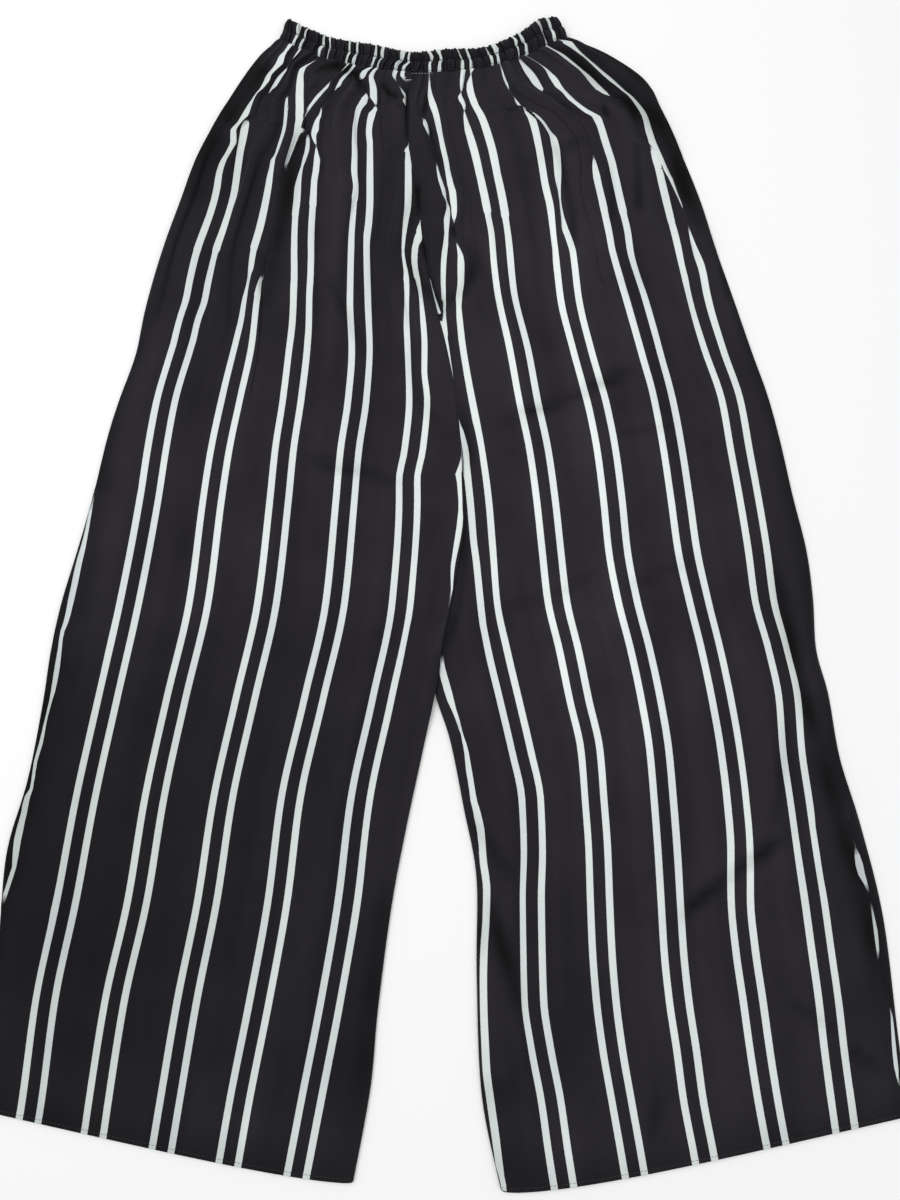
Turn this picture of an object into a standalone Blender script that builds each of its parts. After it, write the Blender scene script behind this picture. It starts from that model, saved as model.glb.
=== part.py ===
# Palazzo pants laid flat, front side up: four gathered leg panels under an elastic waist casing.
# +Y points from the hems to the waist, +X to the right, +Z up from the surface they lie on.
# Sizes in the tables are millimetres.

import math
from collections import namedtuple

import bmesh
import bpy

MM = 0.001

# Moves the tables' places so that the middle of the whole outline is at the origin
CENTRE_X = 0.5
CENTRE_Y = 2.05

WALL = 1.2  # each cloth wall
LAYER_GAP = 0.5  # between a panel and the one it lies on
SEAM_GAP = 0.3  # between pieces sewn to each other
FRONT_BASE = WALL + LAYER_GAP  # underside of a front panel over its back panel
LEG_LIFT = 2 * (WALL + LAYER_GAP) + 0.3  # how far the left leg rises to lie over the right one

# Gathers below the casing
GATHERS_PER_LEG = 15
GATHER_HEIGHT = 2.0
GATHER_FADE = 8.5  # sections below the waist seam where the last gather has died out
WAIST_RISE = 1.2  # the front panels rise this much to meet the thicker casing
WAIST_RISE_SECTIONS = 2.5

# Waist casing
CASING_RUFFLES = 30
CASING_BACK_WALL = 2.0
CASING_FRONT_BASE = CASING_BACK_WALL + LAYER_GAP
CASING_EDGE_WALL = 1.6
CASING_PUFF = 2.4
CASING_RUFFLE = 1.7
CASING_STITCHED_RUFFLE = 0.7

# Mesh density
PANEL_COLUMNS = 4 * GATHERS_PER_LEG
BACK_COLUMNS = PANEL_COLUMNS // 3
COLUMN_GRADING = 1.25  # above 1 the columns stand closer at the inner edge
RUFFLE_COLUMNS = 4
CASING_ROWS = 6
CASING_BACK_COLUMNS = 48

# How the left leg climbs over the right one, in millimetres along Y and X
LIFT_STARTS_Y = 126
LIFT_FULL_Y = 94
LIFT_DROPS_Y = -106
LIFT_ENDS_Y = -150
BACK_LIFT_RAMP = 32
FRONT_LIFT_RAMP = 42
LIFT_MARGIN = 6

# One row for each section across a leg, from the waist seam to the hem: where its inner end (centre
# seam, then inseam) and its outer end (outseam) lie, how far its middle hangs below the straight
# line between them, and how far the back panel shows beyond the front at the outseam.
Section = namedtuple("Section", "name inner_x inner_y outer_x outer_y sag back_peek")

LEFT_SECTIONS = [
    Section("waist seam", -22, 467, -149, 499.5, 8, 0),
    Section("under the casing", -30, 446, -165.5, 485.5, 9, 0),
    Section("gathers, upper", -30, 418, -185, 457.5, 10, 0),
    Section("gathers, middle", -26, 384, -204.5, 423, 10, 0),
    Section("gathers, lower", -19, 344, -224, 383, 10, 0),
    Section("high hip", -14, 300, -240, 337.5, 10, 0),
    Section("hip", -5, 256, -255.5, 290, 9, 0),
    Section("low hip", 6, 212, -267, 244, 9, 0),
    Section("seat", 14.5, 170, -275, 200, 8, 0),
    Section("above the crotch", 19, 130, -289, 158, 8, 0),
    Section("crotch", 21, 92, -299, 122, 7, 0),
    Section("upper thigh", 22, 40, -310, 70, 6, 0),
    Section("middle thigh", 13, -12, -323, 20, 6, 0),
    Section("lower thigh", 4, -58, -335, -24, 6, 0),
    Section("legs part", -3, -104, -343, -66, 6, 0),
    Section("above the knee", -14, -155, -349, -115, 6, 0),
    Section("knee", -29, -225, -360, -181, 7, 0),
    Section("below the knee", -41, -290, -376, -243, 8, 0),
    Section("calf", -52, -375, -381, -325, 8, 0),
    Section("shin", -58, -440, -392, -387, 9, 0),
    Section("hem", -72, -516, -402, -455, 6, 0),
]

RIGHT_SECTIONS = [
    Section("waist seam", -22, 467, 119, 501, 12, 0),
    Section("under the casing", -30, 446, 156, 486, 12, 0),
    Section("gathers, upper", -30, 418, 191, 461, 12, 0),
    Section("gathers, middle", -26, 384, 205.5, 432, 11, 0),
    Section("gathers, lower", -19, 344, 222.5, 392, 10, 0),
    Section("high hip", -14, 300, 240, 345, 10, 0),
    Section("hip", -5, 256, 253, 300, 9, 0),
    Section("low hip", 6, 212, 269, 250, 8, 0),
    Section("seat", 14.5, 170, 283.5, 204, 7, 0),
    Section("above the crotch", 19, 130, 297, 163, 7, 0),
    Section("crotch", 21, 92, 307, 122, 6, 0),
    Section("upper thigh", 0, 40, 317, 72, 6, 0),
    Section("middle thigh", -10, -12, 328, 22, 6, 0),
    Section("lower thigh", -8, -58, 331, -21, 6, 1.5),
    Section("legs part", -3, -104, 332, -66, 6, 2),
    Section("above the knee", 10, -145, 342, -105, 7, 1.5),
    Section("knee", 22, -204, 352, -161, 8, 0),
    Section("below the knee", 33, -264, 368, -218, 8, 0),
    Section("calf", 33, -345, 385, -296, 8, 0),
    Section("shin", 37, -445, 394, -391, 7, 0),
    Section("hem", 53, -522.5, 399, -463, 9, 2),
]

# The casing between its folded top edge and the waist seam, from the wearer's right side to the
# left, and how far the back's top edge shows above the front's.
CasingSection = namedtuple("CasingSection", "name top_x top_y bottom_x bottom_y back_peek")

CASING_SECTIONS = [
    CasingSection("left end", -141, 519.5, -149, 499.8, 0),
    CasingSection("left side", -118, 508, -124, 488, 0),
    CasingSection("left half, outer", -97, 500, -101, 479.5, 1),
    CasingSection("left half, inner", -60, 493.5, -62, 471.5, 2),
    CasingSection("dip by the centre seam", -26, 486.5, -23, 467.3, 2),
    CasingSection("right half, inner", 6, 489.5, 10, 468, 0),
    CasingSection("right half, middle", 40, 491, 46, 473, 0),
    CasingSection("right half, outer", 72, 504, 80, 484, 0),
    CasingSection("right side", 93, 518.5, 102, 495, 0),
    CasingSection("right end", 109, 520.5, 119, 501.3, 0),
]

# The largest folds of the fronts: a soft ridge from one place to another. Down counts sections from
# the waist seam, across runs from the inner edge (0) to the outseam (1); reach and height in mm.
Fold = namedtuple("Fold", "name leg down_from across_from down_to across_to reach height")

FOLDS = [
    Fold("deep fold beside the left hip", "left", 2.0, 0.66, 6.0, 0.92, 17, 2.0),
    Fold("fold from the left side of the casing", "left", 1.0, 0.80, 3.0, 0.92, 14, 1.6),
    Fold("fold beside the centre seam", "left", 1.5, 0.12, 4.0, 0.16, 12, 1.6),
    Fold("left outseam bump", "left", 7.0, 0.96, 9.0, 0.93, 16, 1.4),
    Fold("slanting hip fold", "right", 8.5, 0.20, 7.4, 0.52, 18, 1.8),
    Fold("hip fold below the gathers", "right", 2.6, 0.48, 6.2, 0.60, 15, 1.6),
    Fold("fold inside the right knee", "right", 16.2, 0.03, 17.6, 0.12, 18, 2.2),
    Fold("fold down the right inseam", "right", 17.6, 0.12, 19.0, 0.16, 20, 1.8),
    Fold("slanting calf fold", "right", 17.0, 0.78, 18.0, 0.55, 24, 1.8),
    Fold("outseam fold at the knee", "right", 15.0, 0.80, 16.6, 0.86, 20, 1.8),
    Fold("outseam fold at the calf", "right", 17.0, 0.90, 18.8, 0.95, 20, 2.0),
]

CLOTH_COLOUR = (0.021, 0.019, 0.021, 1.0)
CLOTH_ROUGHNESS = 0.78


def smooth_step(low, high, value):
    share = min(max((value - low) / (high - low), 0.0), 1.0)
    return share * share * (3.0 - 2.0 * share)


def between_rows(rows, place):
    """The numbers of a table at a place between its rows, on smooth curves through them."""
    last = len(rows) - 1
    place = min(max(place, 0.0), float(last))
    index = min(int(place), last - 1)
    share = place - index
    before = rows[max(index - 1, 0)]
    start = rows[index]
    end = rows[index + 1]
    after = rows[min(index + 2, last)]
    mixed = []
    for a, b, c, d in zip(before[1:], start[1:], end[1:], after[1:]):
        curve = 2.0 * b + (c - a) * share
        curve += (2.0 * a - 5.0 * b + 4.0 * c - d) * share**2
        curve += (3.0 * b - a - 3.0 * c + d) * share**3
        mixed.append(curve / 2.0)
    return type(start)(start.name, *mixed)


def across_leg(section, across):
    """A point of a section, from its inner end (0) to its outer end (1), with its sag."""
    x = section.inner_x + (section.outer_x - section.inner_x) * across
    y = section.inner_y + (section.outer_y - section.inner_y) * across
    return x, y - section.sag * math.sin(math.pi * across**0.55)


def right_inner_edge(y):
    """Where the right leg's inseam lies at a height, for the left leg to climb over."""
    rows = [row for row in RIGHT_SECTIONS if LIFT_ENDS_Y < row.inner_y < LIFT_STARTS_Y]
    for upper, lower in zip(rows, rows[1:]):
        if lower.inner_y <= y <= upper.inner_y:
            share = (upper.inner_y - y) / (upper.inner_y - lower.inner_y)
            return upper.inner_x + (lower.inner_x - upper.inner_x) * share
    return rows[0].inner_x if y > rows[0].inner_y else rows[-1].inner_x


def leg_lift(x, y, ramp):
    along = smooth_step(LIFT_STARTS_Y, LIFT_FULL_Y, y) * smooth_step(LIFT_ENDS_Y, LIFT_DROPS_Y, y)
    edge = right_inner_edge(y) - LIFT_MARGIN
    return LEG_LIFT * along * smooth_step(edge - ramp, edge, x)


def gather_height(down, across):
    """Soft waves that start at the waist seam and die out towards the hip."""
    fade = 1.0 - smooth_step(0.0, GATHER_FADE, down)
    wave = 0.5 - 0.5 * math.cos(2.0 * math.pi * GATHERS_PER_LEG * across)
    return GATHER_HEIGHT * fade * wave


def fold_height(leg, sections, down, x, y):
    height = 0.0
    for fold in FOLDS:
        if fold.leg != leg or not fold.down_from - 3 < down < fold.down_to + 3:
            continue
        ax, ay = across_leg(between_rows(sections, fold.down_from), fold.across_from)
        bx, by = across_leg(between_rows(sections, fold.down_to), fold.across_to)
        length = math.hypot(bx - ax, by - ay)
        along = ((x - ax) * (bx - ax) + (y - ay) * (by - ay)) / length**2
        aside = abs((x - ax) * (by - ay) - (y - ay) * (bx - ax)) / length
        ends = smooth_step(-0.25, 0.25, along) * smooth_step(1.25, 0.75, along)
        height = max(height, fold.height * ends * (1.0 - smooth_step(0.0, fold.reach, aside)))
    return height


def cloth_material(name):
    material = bpy.data.materials.new(name)
    material.use_nodes = True
    shader = material.node_tree.nodes["Principled BSDF"]
    shader.inputs["Base Color"].default_value = CLOTH_COLOUR
    shader.inputs["Roughness"].default_value = CLOTH_ROUGHNESS
    shader.inputs["Metallic"].default_value = 0.0
    return material


def cloth_solid(name, columns, rows, place, plain_underside=False):
    """A wall of cloth: a grid laid out by place(across, down), which gives x, y, top and underside
    in millimetres, extruded down to its underside."""
    builder = bmesh.new()
    bmesh.ops.create_grid(builder, x_segments=columns, y_segments=rows, size=0.5)
    underside = builder.verts.layers.float.new("underside")
    for vertex in builder.verts:
        x, y, top, bottom = place(vertex.co.x + 0.5, 0.5 - vertex.co.y)
        vertex.co = ((x + CENTRE_X) * MM, (y + CENTRE_Y) * MM, top * MM)
        vertex[underside] = bottom * MM
    extruded = bmesh.ops.extrude_face_region(builder, geom=builder.faces[:], use_keep_orig=True)
    lower_faces = [item for item in extruded["geom"] if isinstance(item, bmesh.types.BMFace)]
    for vertex in {vertex for face in lower_faces for vertex in face.verts}:
        vertex.co.z = vertex[underside]
    if plain_underside:
        bmesh.ops.dissolve_faces(builder, faces=lower_faces, use_verts=True)
    bmesh.ops.recalc_face_normals(builder, faces=builder.faces)
    mesh = bpy.data.meshes.new(name)
    builder.to_mesh(mesh)
    builder.free()
    mesh.materials.append(cloth_material(name + "_cloth"))
    piece = bpy.data.objects.new(name, mesh)
    bpy.context.scene.collection.objects.link(piece)
    return piece


def casing_point(across, down):
    section = between_rows(CASING_SECTIONS, across * (len(CASING_SECTIONS) - 1))
    x = section.top_x + (section.bottom_x - section.top_x) * down
    y = section.top_y + (section.bottom_y - section.top_y) * down
    return section, x, y


def waist_seam_y(x):
    """The height of the casing's lower edge above a place across the waist."""
    low, high = 0.0, 1.0
    for _ in range(24):
        middle = (low + high) / 2.0
        if casing_point(middle, 1.0)[1] < x:
            low = middle
        else:
            high = middle
    return casing_point(low, 1.0)[2]


def leg_point(sections, across, down):
    """A point of a leg, whose first section follows the casing's lower edge."""
    level = down * (len(sections) - 1)
    section = between_rows(sections, level)
    x, y = across_leg(section, across**COLUMN_GRADING)
    if level < 1.0:
        y += (waist_seam_y(x) - SEAM_GAP - y) * (1.0 - level)
    return section, (x, y)


def front_panel(leg, sections, side_gap):
    last = len(sections) - 1

    def place(across, down):
        _, (x, y) = leg_point(sections, across, down)
        level = down * last
        lift = leg_lift(x, y, FRONT_LIFT_RAMP) if leg == "left" else 0.0
        rise = WAIST_RISE * (1.0 - smooth_step(0.0, WAIST_RISE_SECTIONS, level))
        relief = max(gather_height(level, across), fold_height(leg, sections, level, x, y))
        underside = FRONT_BASE + lift + rise + relief
        return x + seam_shift(across, side_gap), y, underside + WALL, underside

    cloth_solid("front_" + leg, PANEL_COLUMNS, last, place)


def back_panel(leg, sections, side_gap):
    def place(across, down):
        section, (x, y) = leg_point(sections, across, down)
        lift = leg_lift(x, y, BACK_LIFT_RAMP) if leg == "left" else 0.0
        x += section.back_peek * across**3
        return x + seam_shift(across, side_gap), y, lift + WALL, lift

    cloth_solid("back_" + leg, BACK_COLUMNS, len(sections) - 1, place)


def seam_shift(across, side_gap):
    """Half the seam gap, taken off a panel's inner edge."""
    return side_gap * (1.0 - across)


def waist_casing_front():
    def place(across, down):
        _, x, y = casing_point(across, down)
        in_channel = abs(math.sin(2.0 * math.pi * down))
        ruffle = 0.5 - 0.5 * math.cos(2.0 * math.pi * CASING_RUFFLES * across)
        ruffle_height = CASING_STITCHED_RUFFLE + (CASING_RUFFLE - CASING_STITCHED_RUFFLE) * in_channel
        top = CASING_FRONT_BASE + CASING_EDGE_WALL + CASING_PUFF * in_channel + ruffle_height * ruffle
        return x, y, top, CASING_FRONT_BASE

    columns = CASING_RUFFLES * RUFFLE_COLUMNS
    cloth_solid("waist_casing_front", columns, CASING_ROWS, place, plain_underside=True)


def waist_casing_back():
    def place(across, down):
        section, x, y = casing_point(across, down)
        y += section.back_peek * (1.0 - down)
        return x, y, CASING_BACK_WALL, 0.0

    cloth_solid("waist_casing_back", CASING_BACK_COLUMNS, 2, place, plain_underside=True)


def build():
    for old in list(bpy.data.objects):
        bpy.data.objects.remove(old, do_unlink=True)
    for leg, sections, side_gap in (
        ("left", LEFT_SECTIONS, -SEAM_GAP / 2),
        ("right", RIGHT_SECTIONS, SEAM_GAP / 2),
    ):
        front_panel(leg, sections, side_gap)
        back_panel(leg, sections, side_gap)
    waist_casing_front()
    waist_casing_back()


build()
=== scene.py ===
import math

import bmesh
import bpy
import numpy as np
from mathutils import Matrix, Vector


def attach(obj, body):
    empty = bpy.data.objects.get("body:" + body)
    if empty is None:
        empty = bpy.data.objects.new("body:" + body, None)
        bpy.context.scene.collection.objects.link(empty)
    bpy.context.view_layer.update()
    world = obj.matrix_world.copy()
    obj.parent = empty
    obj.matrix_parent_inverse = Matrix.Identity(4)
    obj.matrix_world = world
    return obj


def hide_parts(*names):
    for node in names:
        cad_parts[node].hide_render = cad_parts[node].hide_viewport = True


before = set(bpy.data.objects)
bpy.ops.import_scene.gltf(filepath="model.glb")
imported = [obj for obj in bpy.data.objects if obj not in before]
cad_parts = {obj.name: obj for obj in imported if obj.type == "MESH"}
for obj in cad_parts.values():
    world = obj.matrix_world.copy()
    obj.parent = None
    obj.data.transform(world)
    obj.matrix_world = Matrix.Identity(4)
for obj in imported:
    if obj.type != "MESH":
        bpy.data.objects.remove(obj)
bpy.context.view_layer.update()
mm = 0.001
print("frame loaded", sorted(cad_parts))

# The tables' own origin lies here in the frame
centre = (0.5, 2.05)

# The camera stands over the cloth. Places called (across, down) are in its view.
view = {
    "width": 900,
    "height": 1200,
    "lens": 26.0,
    "sensor": 36.0,
    "aimX": 10.5,
    "aimY": -19.6,
    "distance": 771.0,
    "tilt": math.radians(4.0),
}

cloth = {
    "pairPitch": 60.0,  # from one pair of stripes to the next
    "stripeOffset": 8.25,  # each stripe's middle from its pair's middle
    "stripeWidth": 6.0,
    "leftmostPair": -4,  # pairs are counted from the one by the centre seam
    "thinnest": (0.5, 1.5),  # a stripe shows from the first of these widths, in full from the second
    "heldBeyond": 12,  # a single stripe still holds the cloth this far beyond its ends
    "trackGap": 15,  # between a stripe's own track in the gathers and its pair's track below them
    "pairSpread": 1.01,  # a pair lies slightly wider in the lean of the legs
    "besideStripe": 3.2,  # how far beside a stripe it is decided whether the stripe shows
    "backTop": 1.2,
    "frontTop": 2.9,
    "gatheredTop": 4.0,
    "casingTop": 5.0,
}

# How the left leg climbs over the right one
legLift = {
    "height": 3.7,
    "startsY": 126,
    "fullY": 94,
    "dropsY": -106,
    "endsY": -150,
    "ramp": 42,  # width of the climb in the front panel
    "backRamp": 32,
    "margin": 6,  # from the top of the climb to the right leg's inner edge
}

# Sections across each leg: inner end x, y, outer end x, y, how far the middle hangs, back panel's peek
legSections = {
    "left": [
        (-22, 467, -149, 499.5, 8, 0),
        (-30, 446, -165.5, 485.5, 9, 0),
        (-30, 418, -185, 457.5, 10, 0),
        (-26, 384, -204.5, 423, 10, 0),
        (-19, 344, -224, 383, 10, 0),
        (-14, 300, -240, 337.5, 10, 0),
        (-5, 256, -255.5, 290, 9, 0),
        (6, 212, -267, 244, 9, 0),
        (14.5, 170, -275, 200, 8, 0),
        (19, 130, -289, 158, 8, 0),
        (21, 92, -299, 122, 7, 0),
        (22, 40, -310, 70, 6, 0),
        (13, -12, -323, 20, 6, 0),
        (4, -58, -335, -24, 6, 0),
        (-3, -104, -343, -66, 6, 0),
        (-14, -155, -349, -115, 6, 0),
        (-29, -225, -360, -181, 7, 0),
        (-41, -290, -376, -243, 8, 0),
        (-52, -375, -381, -325, 8, 0),
        (-58, -440, -392, -387, 9, 0),
        (-72, -516, -402, -455, 6, 0),
    ],
    "right": [
        (-22, 467, 119, 501, 12, 0),
        (-30, 446, 156, 486, 12, 0),
        (-30, 418, 191, 461, 12, 0),
        (-26, 384, 205.5, 432, 11, 0),
        (-19, 344, 222.5, 392, 10, 0),
        (-14, 300, 240, 345, 10, 0),
        (-5, 256, 253, 300, 9, 0),
        (6, 212, 269, 250, 8, 0),
        (14.5, 170, 283.5, 204, 7, 0),
        (19, 130, 297, 163, 7, 0),
        (21, 92, 307, 122, 6, 0),
        (0, 40, 317, 72, 6, 0),
        (-10, -12, 328, 22, 6, 0),
        (-8, -58, 331, -21, 6, 1.5),
        (-3, -104, 332, -66, 6, 2),
        (10, -145, 342, -105, 7, 1.5),
        (22, -204, 352, -161, 8, 0),
        (33, -264, 368, -218, 8, 0),
        (33, -345, 385, -296, 8, 0),
        (37, -445, 394, -391, 7, 0),
        (53, -522.5, 399, -463, 9, 2),
    ],
}

# Middles of the stripe pairs, as (down, across) in the view, one list for each pair from left to right
pairTracks = {
    "left": [
        [
            (300, 192.7), (350, 176.3), (400, 166.1), (450, 156.8), (500, 149), (600, 129.9), (700, 107.3),
            (800, 85.1), (900, 66.5), (1000, 45.3), (1100, 32), (1190, 17),
        ],
        [
            (350, 241.1), (400, 230.7), (450, 220), (500, 212.2), (600, 199.2), (700, 175.9), (800, 154.1),
            (900, 137.5), (1000, 114.7), (1100, 98.7), (1190, 86),
        ],
        [
            (350, 298), (400, 291.9), (450, 284.3), (500, 279.2), (600, 267.5), (700, 245.1), (800, 222.8),
            (900, 207.4), (1000, 187.2), (1100, 170.1), (1190, 155),
        ],
        [
            (250, 358.3), (300, 359), (350, 360.9), (400, 357.3), (450, 349.8), (500, 345.3), (600, 335.7),
            (700, 313.5), (800, 290.5), (900, 277.8), (1000, 259.7), (1100, 239.7), (1190, 224),
        ],
        [
            (250, 411.9), (300, 412.9), (350, 417), (400, 418.4), (450, 413.8), (480, 408.3), (500, 408.4),
            (600, 402), (700, 381.9), (800, 360.4), (900, 348), (1000, 330.9), (1100, 311.3), (1190, 294),
        ],
    ],
    "right": [
        [
            (400, 463), (450, 472.5), (500, 479.4), (550, 483.5), (600, 487.1), (650, 497.5), (700, 509.4),
            (750, 521.1), (800, 531.4), (850, 533.1), (900, 531.8), (950, 532.5), (1000, 533.9),
            (1050, 541.2), (1100, 550.9), (1150, 558), (1200, 566),
        ],
        [
            (250, 501), (300, 506.5), (350, 519.1), (400, 528.3), (450, 538.9), (500, 546), (550, 551.5),
            (600, 557.2), (650, 569), (700, 579.3), (750, 590.5), (800, 594.5), (850, 598.2), (900, 600),
            (950, 602.2), (1000, 606.2), (1050, 612.7), (1100, 621.5), (1150, 630.5), (1200, 639),
        ],
        [
            (250, 563), (300, 570), (350, 582.1), (400, 596.2), (450, 606.5), (500, 612.9), (550, 618),
            (600, 627.5), (650, 640.4), (700, 651.1), (750, 659.3), (800, 663.8), (850, 667.6),
            (900, 670.8), (950, 673.8), (1000, 679), (1050, 686.6), (1100, 693.4), (1150, 703), (1200, 712),
        ],
        [
            (250, 621), (300, 636), (350, 650.3), (400, 663.6), (450, 673), (500, 680.5), (550, 687.5),
            (600, 698.6), (650, 711.1), (700, 721.8), (750, 730.6), (800, 736.9), (850, 740.9),
            (900, 740.6), (950, 745.6), (1000, 753), (1050, 760), (1100, 768), (1150, 777.3),
        ],
        [
            (250, 686.5), (300, 699), (350, 714), (400, 731.2), (450, 740.2), (500, 749.5), (550, 757.8),
            (600, 764.5), (650, 778.2), (700, 788.7), (750, 792.5), (800, 799.7), (850, 806.8),
            (900, 814.7), (950, 821.7), (1000, 828.8), (1050, 834.5), (1100, 841.3), (1150, 848),
        ],
    ],
}

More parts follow.
